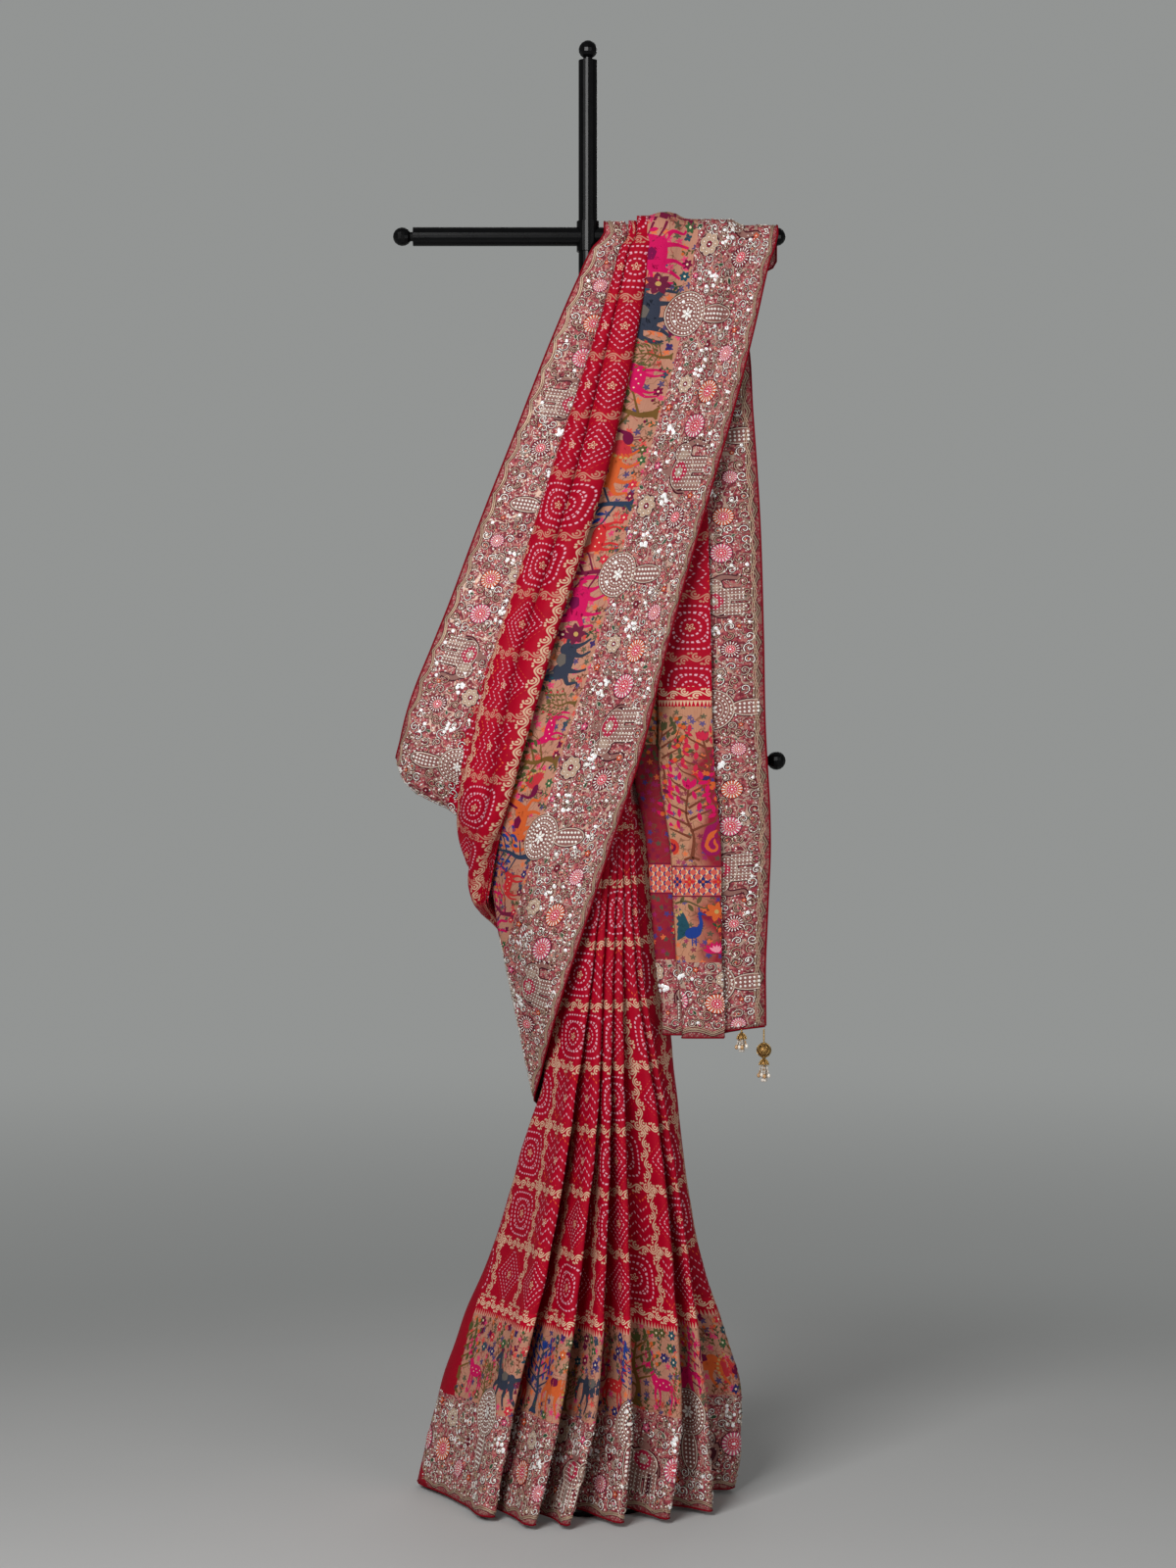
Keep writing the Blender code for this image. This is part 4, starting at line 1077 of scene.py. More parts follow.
def bandhani(U, V):
    """Colour of the tie-dyed body, and how far its marks stand out."""
    # on the swath the folds cross the checks at a slight slant
    slip = nmin(nmax((U - 3.3) * 8, 0.0), 1.0) * nmin(nmax((4.34 - U) * 5, 0.0), 1.0)
    side = nmin(nmax((V - 0.44) * 8, 0.0), 1.0)
    v0 = V - 0.26 - slip * (0.028 - side * 0.044)
    iu, iv = nfloor(U / CELL), nfloor(v0 / CELL)
    a = (fract(U / CELL) - 0.5) * CELL
    b = (fract(v0 / CELL) - 0.5) * CELL
    kind, _ = hashed(vec(iu, iv, 3.0))
    r = root(a * a + b * b)
    rs = root(root(a * a * a * a + b * b * b * b))
    l1 = nabs(a) + nabs(b)
    th = N.math("ARCTAN2", b, a)
    marks = None

    def dots(rho, pitch, along, wr, wa):
        f = fract(rho / pitch) - 0.5
        g = fract(along) - 0.5
        return soft(f, wr, 0.07) * soft(g, wa, 0.07)

    # rings of dots, nested diamonds, and zigzag rows
    rr = mix(vec(r, 0, 0), vec(rs, 0, 0), gt(r, 0.020))
    rr = split(rr)[0]
    rr = rr - 0.0068
    k = nfloor(rr / 0.0086)
    rings = dots(rr, 0.0086, th / 6.28318 * (k * 10.0 + 13.0), 0.105, 0.26) * gt(rr, 0.0) * lt(rr, 0.0258)
    dia = dots(l1 - 0.0085, 0.0094, (nabs(a) - nabs(b)) / 0.0078, 0.085, 0.25) * gt(l1, 0.0085) * lt(l1, 0.041)
    zz = b + nabs(fract(a / 0.0215) - 0.5) * 0.020
    zig = dots(zz, 0.0128, a / 0.0046, 0.068, 0.25) * lt(nabs(a), 0.0320) * lt(nabs(b), 0.0320)
    t1, t2 = lt(kind, 0.36), gt(kind, 0.70)
    marks = rings * t1 + dia * (1 - t1) * (1 - t2) + zig * t2
    orange = (1 - t1) * (1 - t2) * gt(l1, 0.0328) + t2 * gt(nabs(b + a * 0.3), 0.026)
    ground = mix(CRIMSON, DEEP, noise(vec(U, V), 38, 3, 0.6) * 0.8)
    col = mix(ground, mix(DOT, DOT_O, nmin(orange, 1.0)), nmin(marks, 1.0) * 0.85)
    # little flower in the middle
    pet = 0.0036 + 0.0015 * ncos(th * 5)
    flower = nmax(soft(r - pet, 0.0006, 0.0003), lt(r, 0.0011))
    col = mix(col, TAN, flower)
    # vine bands along the check's lines
    vines = None
    for x, along, weight in ((U / CELL, V, 1 - gt(U, 3.6) * 0.5), (v0 / CELL, U, 1.0)):
        one = scroll((fract(x + 0.5) - 0.5) * CELL, along) * weight
        vines = one if vines is None else nmax(vines, one)
    col = mix(col, mix(TAN, TAN_D, noise(vec(U, V), 300, 2)), vines)
    return col, nmax(vines, marks)


def florets(U, V, size, palette, seed):
    """Scattered small woven flowers: colour and mask."""
    q = vec(U, V, seed)
    dist, c = cells(q, 1.0 / size, 0.75)
    h, hc = hashed(c)
    n = N.tree.nodes.new("ShaderNodeTexVoronoi")
    n.voronoi_dimensions = "2D"
    N.tree.links.new(q.s, n.inputs["Vector"])
    n.inputs["Scale"].default_value = 1.0 / size
    n.inputs["Randomness"].default_value = 0.75
    px, py, _ = split(N(n.outputs["Position"]))
    sc = n.inputs["Scale"].default_value
    dx, dy = U - px / 1.0, V - py / 1.0
    th = N.math("ARCTAN2", dy, dx)
    rad = 0.28 + 0.10 * ncos(th * 5 + h * 6.0)
    m = lt(dist, rad) * gt(h, 0.18)
    ramp = N.tree.nodes.new("ShaderNodeValToRGB")
    ramp.color_ramp.interpolation = "CONSTANT"
    el = ramp.color_ramp.elements
    el[0].position, el[0].color = 0.0, (*palette[0], 1)
    el[1].position, el[1].color = 1.0 / len(palette), (*palette[1], 1)
    for i, p in enumerate(palette[2:], 2):
        e = el.new(i / len(palette))
        e.color = (*p, 1)
    N.tree.links.new(h.s, ramp.inputs[0])
    return N(ramp.outputs[0]), m


SILVER = lin(210, 200, 184)
CORAL, ROSE = lin(186, 96, 98), lin(146, 48, 66)


def embroidered(U, W):
    """Ground of the worked border, W from the edge: colour, metal, height."""
    n1 = noise(vec(U, W), 210, 3, 0.6)
    base = mix(CORAL, ROSE, noise(vec(U, W), 45, 2) * 1.5 - 0.25)
    base = mix(base, lin(206, 150, 126), gt(n1, 0.60) * 0.55)
    base = mix(base, lin(120, 26, 48), lt(n1, 0.40) * 0.55)
    d, c = cells(vec(U, W), 330, 1.0)
    h, _ = hashed(c)
    # pale silver specks: silver beads, painted brighter as glints
    bead_glint = lt(d, 0.30) * gt(h, 0.64)
    # darkest cells: dark maroon ground, deepened further as painted shade between the beads
    base = mix(base, lin(66, 10, 24), lt(h, 0.26) * 0.55)
    base = mix(base, lin(200, 140, 128), band(h, 0.30, 0.42) * 0.50)
    col = mix(base, lin(216, 204, 192), bead_glint * 0.85)
    # running stems of couched metal thread, with a wider dark maroon band round each as painted shade beside the raised
    # stem
    f1 = noise(vec(U, W, 5.0), 42, 1.0, 0.4) - 0.5
    f2 = noise(vec(U, W, 11.0), 60, 1.0, 0.4) - 0.5
    edge = nmax(soft(f1, 0.036, 0.012), soft(f2, 0.036, 0.012))
    col = mix(col, lin(112, 34, 50), edge * 0.45)
    st = nmax(soft(f1, 0.012, 0.008), soft(f2, 0.012, 0.008))
    col = mix(col, lin(206, 186, 164), st * 0.6)
    # the scalloped double line, and the strip below it
    sc = 0.0048 + 0.0058 * nabs(nsin(U * (3.14159 / 0.044)))
    line = nmax(soft(W - sc, 0.0007, 0.0004), soft(W - (sc - 0.0026), 0.0006, 0.0003))
    below = lt(W, sc - 0.0034)
    col = mix(col, lin(176, 70, 78), below * 0.35)
    col = mix(col, lin(70, 16, 26), soft(W - (sc - 0.0014), 0.0030, 0.0008) * 0.7)
    col = mix(col, mix(lin(222, 200, 172), lin(168, 140, 116), noise(vec(U, W), 900, 1)), line)
    metal = nmin(bead_glint * 0.6 + st + line, 1.0)
    return col, metal, nmin(bead_glint * 0.5 + st + line * 1.2, 1.4)


def silk_material():
    m, b = new_mat("bandhani_silk_fine")
    U0, V0, _ = uvs("cloth")
    E, _, _ = uvs("end")
    wob = split(noise(vec(U0, V0), 26, 2, 0.5, "Color"))
    U = U0 + (wob[0] - 0.5) * 0.0022
    V = V0 + (wob[1] - 0.5) * 0.0022
    body, marks = bandhani(U, V)
    # ---- brocade band with its rows of teeth and curls
    weft = nsin(V0 * 6.28318 / 0.0011) * 0.5 + 0.5
    slub = noise(vec(U0 * 0.25, V0 * 3.0), 260, 2, 0.6)
    ground = mix(BROCADE, lin(170, 112, 92), slub * 0.85)
    fine_red = soft(noise(vec(U, V, 9.0), 58, 1.2, 0.4) - 0.5, 0.012, 0.008) * gt(noise(vec(U, V, 4.0), 18, 1), 0.46)
    ground = mix(ground, lin(142, 30, 48), fine_red * 0.65)
    fc, fm = florets(U, V, 0.0135, (lin(120, 20, 60), lin(60, 80, 60), lin(214, 60, 60), lin(35, 50, 110), lin(225, 40, 110), lin(226, 110, 60)), 1.0)
    brocade = mix(ground, fc, fm * 0.85)
    sprays = soft(noise(vec(U, V, 2.0), 70, 1.0, 0.4) - 0.5, 0.012, 0.008) * gt(noise(vec(U, V), 25, 1), 0.48)
    brocade = mix(brocade, lin(110, 74, 50), sprays * 0.75)
    tcoord = nabs(fract(U / 0.0052) - 0.5) * 2.0
    teeth = lt(tcoord, (V - 0.2385) / 0.0100)
    trow = mix(lin(206, 150, 128), CRIMSON, teeth)
    crow = mix(CRIMSON, TAN, scroll((V - 0.2560) * 1.15, U))
    crowE = mix(CRIMSON, TAN, scroll((E - 0.4500) * 1.15, V))
    emb, emetal, ehigh = embroidered(U, V)
    W2 = 1.12 - V
    emb2, emetal2, ehigh2 = embroidered(U, W2)
    col = mix(body, crow, lt(V, 0.2640))
    col = mix(col, trow, lt(V, 0.2488))
    col = mix(col, brocade, lt(V, 0.2400))
    col = mix(col, emb, lt(V, 0.130))
    up = gt(V, 1.035)
    col = mix(col, emb2, up)
    metal = emetal * lt(V, 0.130) + emetal2 * up
    high = ehigh * lt(V, 0.130) + ehigh2 * up + marks * 0.15
    # ---- the hanging end's own panels
    pw, pm = florets(U, V, 0.0105, (lin(200, 40, 60), lin(120, 20, 60), lin(226, 110, 60), lin(60, 80, 60), lin(150, 30, 90), lin(35, 60, 130)), 7.0)
    pground = mix(lin(204, 150, 118), lin(170, 112, 88), slub)
    wash = nmax((V - 0.948) * 45, (0.872 - V) * 45) + (noise(vec(V, E), 22, 2) - 0.5) * 2.6
    pground = mix(pground, mix(lin(160, 4, 46), lin(112, 0, 36), noise(vec(V, E), 60, 2)), nmin(nmax(wash, 0.0), 1.0) * lt(E, 0.38) * 0.95)
    twigs = soft(noise(vec(V, E, 2.0), 62, 1.2, 0.4) - 0.5, 0.010, 0.008)
    pground = mix(pground, lin(110, 70, 48), twigs * 0.7)
    panel = mix(pground, pw, pm * 0.8)
    # lattice row between the panels
    la, lb = fract(U0 * 0 + (V + E) / 0.0120) - 0.5, fract((V - E) / 0.0120) - 0.5
    lat = nmax(soft(la, 0.10, 0.05), soft(lb, 0.10, 0.05))
    lrow = mix(lin(206, 92, 78), mix(lin(45, 50, 110), lin(226, 190, 150), gt(fract(V / 0.006), 0.5)), lat)
    inside = lt(V, 1.026)
    endc = mix(body, crowE, band(E, 0.4405, 0.4590))
    tE = gt(nabs(fract(V / 0.0042) - 0.5) * 2.0, (0.4410 - E) / 0.0080)
    endc = mix(endc, mix(CRIMSON, TAN, tE * 0.8), band(E, 0.4330, 0.4410))
    endc = mix(endc, panel, lt(E, 0.4330))
    endc = mix(endc, lrow, band(E, 0.186, 0.222))
    eline = nmax(soft(E - 0.2235, 0.0010, 0.0004), soft(E - 0.1845, 0.0010, 0.0004))
    endc = mix(endc, lin(120, 20, 50), eline)
    embE, emE, ehE = embroidered(V, E)
    isend = lt(E, 1.02)
    low = lt(E, 0.098)
    red_strip = band(V, 1.021, 1.036)
    c_end = mix(endc, embE, low)
    c_end = mix(c_end, CRIMSON, red_strip * (1 - low))
    c_end = mix(c_end, emb2, up)
    in_end = lt(E, 0.459) * isend
    col = mix(col, c_end, in_end)
    metal = mix(vec(metal, 0, 0), vec(nmin(emE * low + emetal2 * up, 1.0), 0, 0), in_end)
    metal = split(metal)[0]
    high = high * (1 - in_end) + (ehE * low + ehigh2 * up) * in_end
    # ---- the plain inner end
    plain = lt(U0, U_PLAIN) * gt(V, 0.128)
    plain_low = lt(V, 0.034 - (U0 - U_LEFT) * 0.9)
    flatred = mix(lin(168, 6, 34), lin(140, 4, 28), noise(vec(U, V), 30, 2))
    pl = nmax(plain, plain_low)
    col = mix(col, flatred, pl)
    metal = metal * (1 - pl)
    high = high * (1 - pl)
    # ---- weave, and the wear of hand work
    warp = nsin(U0 * 6.28318 / 0.0009) * 0.5 + 0.5
    weave = warp * 0.5 + weft * 0.5
    rumple = noise(vec(U0, V0), 900, 2, 0.6)
    col = mix(col, lin(20, 0, 6), (1 - weave) * 0.10 + rumple * 0.06)
    put(b, Base_Color=col, Metallic=metal * 0.25, Roughness=0.52 + rumple * 0.20 - metal * 0.20)
    put(b, Sheen_Weight=0.01, Sheen_Roughness=0.4, Specular_IOR_Level=0.09)
    b.inputs["Sheen Tint"].default_value = (1.0, 0.55, 0.55, 1.0)
    bump(b, high * 0.7 + weave * 0.10 + rumple * 0.18, 0.55, 0.0007)
    return m


M_SILK = silk_material()


def satin():
    m, b = new_mat("piping_satin_fine")
    p = place_vec()
    x, y, z = split(p)
    rope = nsin((x + y + z) * 6.28318 / 0.0024) * 0.5 + 0.5
    n = noise(p, 500, 3)
    put(b, Base_Color=mix(lin(134, 0, 24), lin(98, 0, 16), n * 0.8 + rope * 0.15), Roughness=0.55 + n * 0.16)
    put(b, Sheen_Weight=0.0, Specular_IOR_Level=0.08)
    bump(b, rope * 0.6 + n * 0.4, 0.35, 0.0003)
    return m


def gloss_black():
    m, b = new_mat("stand_gloss_fine")
    p = place_vec()
    n = noise(p, 60, 4, 0.6)
    fine = noise(p, 1400, 2)
    scuff = gt(noise(p, 170, 2), 0.66)
    put(b, Base_Color=mix(lin(4, 4, 5), lin(10, 10, 11), n), Roughness=0.24 + n * 0.08 + scuff * 0.05)
    put(b, Coat_Weight=0.03, Coat_Roughness=0.10, Specular_IOR_Level=0.16)
    bump(b, fine * 0.3 + n * 0.4, 0.06, 0.0004)
    return m


def tinted(name, metallic, rough, sheen=0.0, spec=0.45):
    """Work on the cloth: its colour is in the mesh, its thread in the nodes."""
    m, b = new_mat(name)
    at = N.tree.nodes.new("ShaderNodeAttribute")
    at.attribute_name = "tint"
    c = N(at.outputs["Color"])
    p = place_vec()
    n = noise(p, 1100, 3, 0.6)
    x, y, z = split(p)
    thread = nsin((x * 0.7 + z) * 6.28318 / 0.0010 + n * 3.0) * 0.5 + 0.5
    put(b, Base_Color=mix(c, lin(18, 6, 10), n * 0.16 + thread * 0.10), Metallic=metallic, Roughness=rough + n * 0.2)
    put(b, Sheen_Weight=sheen, Specular_IOR_Level=spec)
    bump(b, thread * 0.5 + n * 0.5, 0.4, 0.0003)
    return m


M_PIPING, M_BLACK = satin(), gloss_black()
M_THREAD = tinted("woven_motif", 0.0, 0.62, 0.01, 0.09)
M_ZARI = tinted("metal_thread", 0.30, 0.34, 0.0, 0.4)
M_BEAD = tinted("beads_and_mirrors", 0.05, 0.08, 0.0, 0.7)
M_PETAL = tinted("silk_petals", 0.0, 0.45, 0.01, 0.16)
M_GILT = tinted("antique_gilt", 0.9, 0.28)

# -------------------------------------------------- work laid on the cloth
class Patch:
    """A shown stretch of the cloth, found by its printed place."""

    def __init__(self, r0, r1, c0, c1):
        P, U, V, n = GRID[r0:r1 + 1, c0:c1 + 1], GU[r0:r1 + 1, c0:c1 + 1], GV[r0:r1 + 1, c0:c1 + 1], NORM[r0:r1 + 1, c0:c1 + 1]
        a, b = P.shape[:2]
        idx = np.arange(a * b).reshape(a, b)
        q = np.stack([idx[:-1, :-1], idx[1:, :-1], idx[1:, 1:], idx[:-1, 1:]], -1).reshape(-1, 4)
        self.tri = np.concatenate([q[:, [0, 1, 2]], q[:, [0, 2, 3]]])
        self.P, self.n = P.reshape(-1, 3), n.reshape(-1, 3)
        self.uv = np.stack([U.reshape(-1), V.reshape(-1)], 1)
        flat_pts = [(float(u), float(v), 0.0) for u, v in self.uv]
        self.bvh = BVHTree.FromPolygons(flat_pts, self.tri.tolist())
        self.lo, self.hi = self.uv.min(0), self.uv.max(0)

    def find(self, uv):
        """Place, normal and the direction along the cloth for each (u, v)."""
        tri = np.full(len(uv), -1)
        for i, (u, v) in enumerate(uv):
            hit = self.bvh.find_nearest((u, v, 0.0), 0.0012)
            if hit[2] is not None:
                tri[i] = hit[2]
        ok = tri >= 0
        t = self.tri[np.where(ok, tri, 0)]
        A, B, C = self.uv[t[:, 0]], self.uv[t[:, 1]], self.uv[t[:, 2]]
        d1, d2, dp = B - A, C - A, uv - A
        det = d1[:, 0] * d2[:, 1] - d1[:, 1] * d2[:, 0]
        ok &= np.abs(det) > 1e-10
        det = np.where(np.abs(det) > 1e-10, det, 1)
        b = (dp[:, 0] * d2[:, 1] - dp[:, 1] * d2[:, 0]) / det
        c = (d1[:, 0] * dp[:, 1] - d1[:, 1] * dp[:, 0]) / det
        b, c = np.clip(b, -0.1, 1.1)[:, None], np.clip(c, -0.1, 1.1)[:, None]
        a = 1 - b - c
        pos = self.P[t[:, 0]] * a + self.P[t[:, 1]] * b + self.P[t[:, 2]] * c
        nor = self.n[t[:, 0]] * a + self.n[t[:, 1]] * b + self.n[t[:, 2]] * c
        nor /= np.maximum(np.linalg.norm(nor, axis=1, keepdims=True), 1e-9)
        e1, e2 = self.P[t[:, 1]] - self.P[t[:, 0]], self.P[t[:, 2]] - self.P[t[:, 0]]
        tu = (e1 * d2[:, 1:2] - e2 * d1[:, 1:2]) / det[:, None]
        tu -= (tu * nor).sum(1, keepdims=True) * nor
        tu /= np.maximum(np.linalg.norm(tu, axis=1, keepdims=True), 1e-9)
        return pos, nor, tu, ok


class Place:
    """A decorated area: turns its own (s, w) into the cloth's (u, v)."""

    def __init__(self, patch, to_uv, s0, s1, w0, w1, flip=1.0):
        self.patch, self.to_uv = patch, to_uv
        self.s0, self.s1, self.w0, self.w1, self.flip = s0, s1, w0, w1, flip


class Work:
    """One joined mesh of many small shapes, each with its own colour."""

    def __init__(self, name, material, slot="saree_silk"):
        self.name, self.material, self.slot = name, material, slot
        self.v, self.f, self.c, self.n = [], [], [], 0

    def add(self, verts, faces, colors):
        self.v.append(np.asarray(verts))
        self.f.append(np.asarray(faces) + self.n)
        self.c.append(np.asarray(colors))
        self.n += len(verts)

    def build(self):
        if not self.v:
            return None
        V, F, C = np.concatenate(self.v), np.concatenate(self.f), np.concatenate(self.c)
        me = bpy.data.meshes.new(self.name)
        me.vertices.add(len(V))
        me.vertices.foreach_set("co", V.astype(np.float32).reshape(-1))
        me.loops.add(len(F) * 3)
        me.loops.foreach_set("vertex_index", F.astype(np.int32).reshape(-1))
        me.polygons.add(len(F))
        me.polygons.foreach_set("loop_start", np.arange(0, len(F) * 3, 3, dtype=np.int32))
        me.update(calc_edges=True)
        me.validate()
        at = me.color_attributes.new("tint", "FLOAT_COLOR", "POINT")
        at.data.foreach_set("color", np.concatenate([C, np.ones((len(C), 1))], 1).astype(np.float32).reshape(-1))
        me.materials.append(self.material)
        me.shade_smooth()
        ob = bpy.data.objects.new(self.name, me)
        bpy.context.scene.collection.objects.link(ob)
        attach(ob, "root")
        print(self.name, len(F), "triangles")
        return ob


LIFT = SILK / 2 + 0.00022


def lay(work, place, sw, faces, color, h):
    """Flat or raised shape, each of its points on the cloth."""
    sw = np.asarray(sw, float)
    uv = place.to_uv(sw)
    pos, nor, _, ok = place.patch.find(uv)
    ok &= (sw[:, 0] > place.s0) & (sw[:, 0] < place.s1) & (sw[:, 1] > place.w0) & (sw[:, 1] < place.w1)
    F = np.asarray(faces)
    keep = ok[F].all(1)
    # a shape that would be drawn across a hidden fold is left out there
    L = np.linalg.norm(pos[F[:, 0]] - pos[F[:, 1]], axis=1)
    keep &= L < 0.02
    if not keep.any():
        return
    F = F[keep]
    used = np.unique(F)
    new = -np.ones(len(sw), int)
    new[used] = np.arange(len(used))
    hh = np.broadcast_to(np.asarray(h, float), (len(sw),))
    work.add((pos + nor * (LIFT + hh)[:, None])[used], new[F], np.tile(color, (len(used), 1)))


# --- flat shapes in a motif's own unit square
def blob(x, y, rx, ry, rot=0.0, lobes=0, depth=0.0):
    return ("blob", x, y, rx, ry, rot, lobes, depth)


def limb(pts, widths):
    return ("limb", pts, widths)


def leaf(x, y, length, width, rot):
    return ("leaf", x, y, length, width, rot)


def shape_points(s, scale):
    """Points and triangles of one shape, at its real size in metres."""
    if s[0] == "blob":
        _, x, y, rx, ry, rot, lobes, depth = s
        n = max(8, min(20, int(2 * math.pi * max(rx, ry) * scale / 0.0035)))
        rings = max(1, min(4, int(max(rx, ry) * scale / 0.005) + 1))
        pts, faces = [(0.0, 0.0)], []
        for q in range(1, rings + 1):
            for k in range(n):
                a = 2 * math.pi * k / n
                m = (1 + depth * math.cos(lobes * a)) * q / rings
                pts.append((rx * m * math.cos(a), ry * m * math.sin(a)))
        for k in range(n):
            faces.append((0, 1 + k, 1 + (k + 1) % n))
            for q in range(rings - 1):
                a0, b0 = 1 + q * n + k, 1 + q * n + (k + 1) % n
                faces += [(a0, a0 + n, b0 + n), (a0, b0 + n, b0)]
        c, sn = math.cos(rot), math.sin(rot)
        P = np.array([(x + c * p - sn * q, y + sn * p + c * q) for p, q in pts])
        return P * scale, faces
    if s[0] == "leaf":
        _, x, y, length, width, rot = s
        n = max(4, min(10, int(length * scale / 0.003)))
        pts = []
        for k in range(n + 1):
            t = k / n
            w = width * math.sin(math.pi * t) ** 0.8 * 0.5
            pts += [(length * t, -w), (length * t, w)]
        c, sn = math.cos(rot), math.sin(rot)
        P = np.array([(x + c * p - sn * q, y + sn * p + c * q) for p, q in pts])
    else:
        _, raw, widths = s
        P = []
        raw = np.array(raw, float)
        keys = np.linspace(0, 1, len(raw))
        length = np.linalg.norm(np.diff(raw, axis=0), axis=1).sum() * scale
        n = max(4, min(24, int(length / 0.0032)))
        t = np.linspace(0, 1, n + 1)
        x = np.array([curve(list(keys), [tuple(r) for r in raw], q) for q in t])
        w = np.interp(t, np.linspace(0, 1, len(widths)), widths) * 0.5
        d = np.gradient(x, axis=0)
        d /= np.maximum(np.linalg.norm(d, axis=1, keepdims=True), 1e-9)
        side = np.stack([-d[:, 1], d[:, 0]], 1)
        P = np.stack([x - side * w[:, None], x + side * w[:, None]], 1).reshape(-1, 2)
    m = len(P) // 2
    faces = []
    for k in range(m - 1):
        a0 = 2 * k
        faces += [(a0, a0 + 2, a0 + 3), (a0, a0 + 3, a0 + 1)]
    return P * scale, faces


PINK, REDD, ORANGE, MAROON = lin(206, 16, 90), lin(204, 44, 48), lin(212, 96, 46), lin(112, 14, 60)
SLATE, INDIGO, TEAL, LEAF = lin(58, 64, 80), lin(48, 46, 104), lin(35, 78, 92), lin(44, 74, 48)
BLUE, GOLD, CREAM = lin(32, 62, 140), lin(196, 158, 92), lin(240, 214, 180)


def horse(c, saddle):
    return [(c, [blob(0, .46, .27, .135, .05), blob(.17, .50, .13, .14), blob(-.19, .47, .13, .14),
                 limb([(.20, .52), (.30, .68), (.36, .84)], (.20, .13, .09)),
                 limb([(.33, .85), (.42, .80), (.52, .70)], (.11, .09, .06)), leaf(.34, .86, .09, .05, 1.6),
                 limb([(.24, .42), (.38, .30), (.36, .14), (.42, .10)], (.10, .06, .04, .04)),
                 limb([(.14, .40), (.17, .20), (.13, .00)], (.10, .055, .04)),
                 limb([(-.16, .42), (-.10, .22), (-.18, .02)], (.12, .06, .04)),
                 limb([(-.25, .44), (-.30, .24), (-.40, .08)], (.13, .06, .04)),
                 limb([(-.30, .52), (-.42, .52), (-.50, .32), (-.47, .18)], (.05, .08, .08, .02))]),
            (saddle, [blob(-.01, .55, .11, .075, .0, 5, .1), limb([(.22, .62), (.27, .76), (.31, .86)], (.03, .05, .03))])]


def deer(c, spots):
    out = [(c, [blob(0, .42, .25, .11), limb([(.17, .46), (.26, .60), (.28, .72)], (.15, .09, .07)),
                limb([(.27, .73), (.34, .71), (.40, .65)], (.08, .07, .035)),
                limb([(.27, .76), (.22, .86), (.27, .99)], (.03, .025, .015)), limb([(.24, .86), (.16, .92)], (.022, .012)),
                limb([(.30, .76), (.38, .86), (.37, .99)], (.03, .025, .015)), limb([(.36, .85), (.45, .89)], (.022, .012)),
                limb([(.17, .38), (.20, .20), (.17, .00)], (.07, .04, .03)), limb([(.11, .37), (.08, .20), (.12, .01)], (.07, .04, .03)),
                limb([(-.17, .38), (-.22, .20), (-.17, .00)], (.09, .04, .03)), limb([(-.21, .40), (-.30, .22), (-.28, .02)], (.08, .04, .03)),
                leaf(-.25, .48, .11, .05, 2.4)])]
    out.append((spots, [blob(-.16 + .08 * i, .45 - .05 * (i % 2), .014, .014) for i in range(5)]))
    return out


def tree(trunk, leaves, fruit=None, seed=1, slim=1.0):
    rnd = random.Random(seed)
    wood = [limb([(0, 0), (.03, .25), (-.03, .50), (.02, .78)], (.10 * slim, .06 * slim, .045 * slim, .02)), limb([(-.08, .0), (.0, .06 * slim), (.08, .0)], (.03, .06 * slim, .03))]
    green, berries = [], []
    for i in range(9):
        t = .28 + .065 * i
        side = 1 if i % 2 else -1
        L = .30 * (1.15 - t) + .10
        x1, y1 = side * L * .92, t + .17 + .07 * rnd.random()
        wood.append(limb([(.0, t - .03), (side * L * .36, t + .03), (side * L * .72, t + .09), (x1, y1)], (.030, .022, .016, .008)))
        for k in range(4):
            f = .35 + .2 * k
            ang = (0.5 if k % 2 else 1.5) if side > 0 else (2.6 if k % 2 else 1.6)
            green.append(leaf(x1 * f, t + (y1 - t) * f, .105, .045, ang + rnd.uniform(-.3, .3)))
        if fruit:
            berries.append(blob(x1, y1 + .02, .026, .026))
    green += [leaf(.02, .78, .13, .05, 1.0 + .5 * k) for k in range(3)]
    return [(trunk, wood), (leaves, green)] + ([(fruit, berries)] if fruit else [])


def flower(c, mid, petals=6, stem=None):
    out = []
    y0 = .5
    if stem:
        out.append((stem, [limb([(.0, .0), (.04, .2), (.0, .42)], (.03, .025, .02)), leaf(.02, .12, .20, .08, .7), leaf(.02, .16, .20, .08, 2.4)]))
        y0 = .66
    out.append((c, [leaf(0, y0, .34, .19, 2 * math.pi * k / petals + .3) for k in range(petals)]))
    out.append((mid, [blob(0, y0, .075, .075)]))
    return out


def butterfly(c, c2):
    return [(c, [leaf(0, .55, .42, .30, .75), leaf(0, .55, .42, .30, 2.39), leaf(0, .52, .32, .24, -.6), leaf(0, .52, .32, .24, 3.74)]),
            (c2, [limb([(0, .35), (0, .78)], (.05, .03)), blob(.20, .72, .05, .04), blob(-.20, .72, .05, .04)])]


def bird(c, wing, tail):
    return [(c, [blob(.02, .50, .20, .13, .35), limb([(.13, .56), (.22, .68), (.27, .74)], (.14, .10, .08)), blob(.28, .77, .065, .06), leaf(.32, .77, .12, .04, -.2)]),
            (tail, [leaf(-.10, .47, .46, .10, 3.3 + .22 * k) for k in range(3)]), (wing, [leaf(.10, .56, .30, .15, 2.7)]),
            (c, [limb([(.02, .38), (.04, .22)], (.02, .02)), limb([(.08, .38), (.10, .22)], (.02, .02))])]


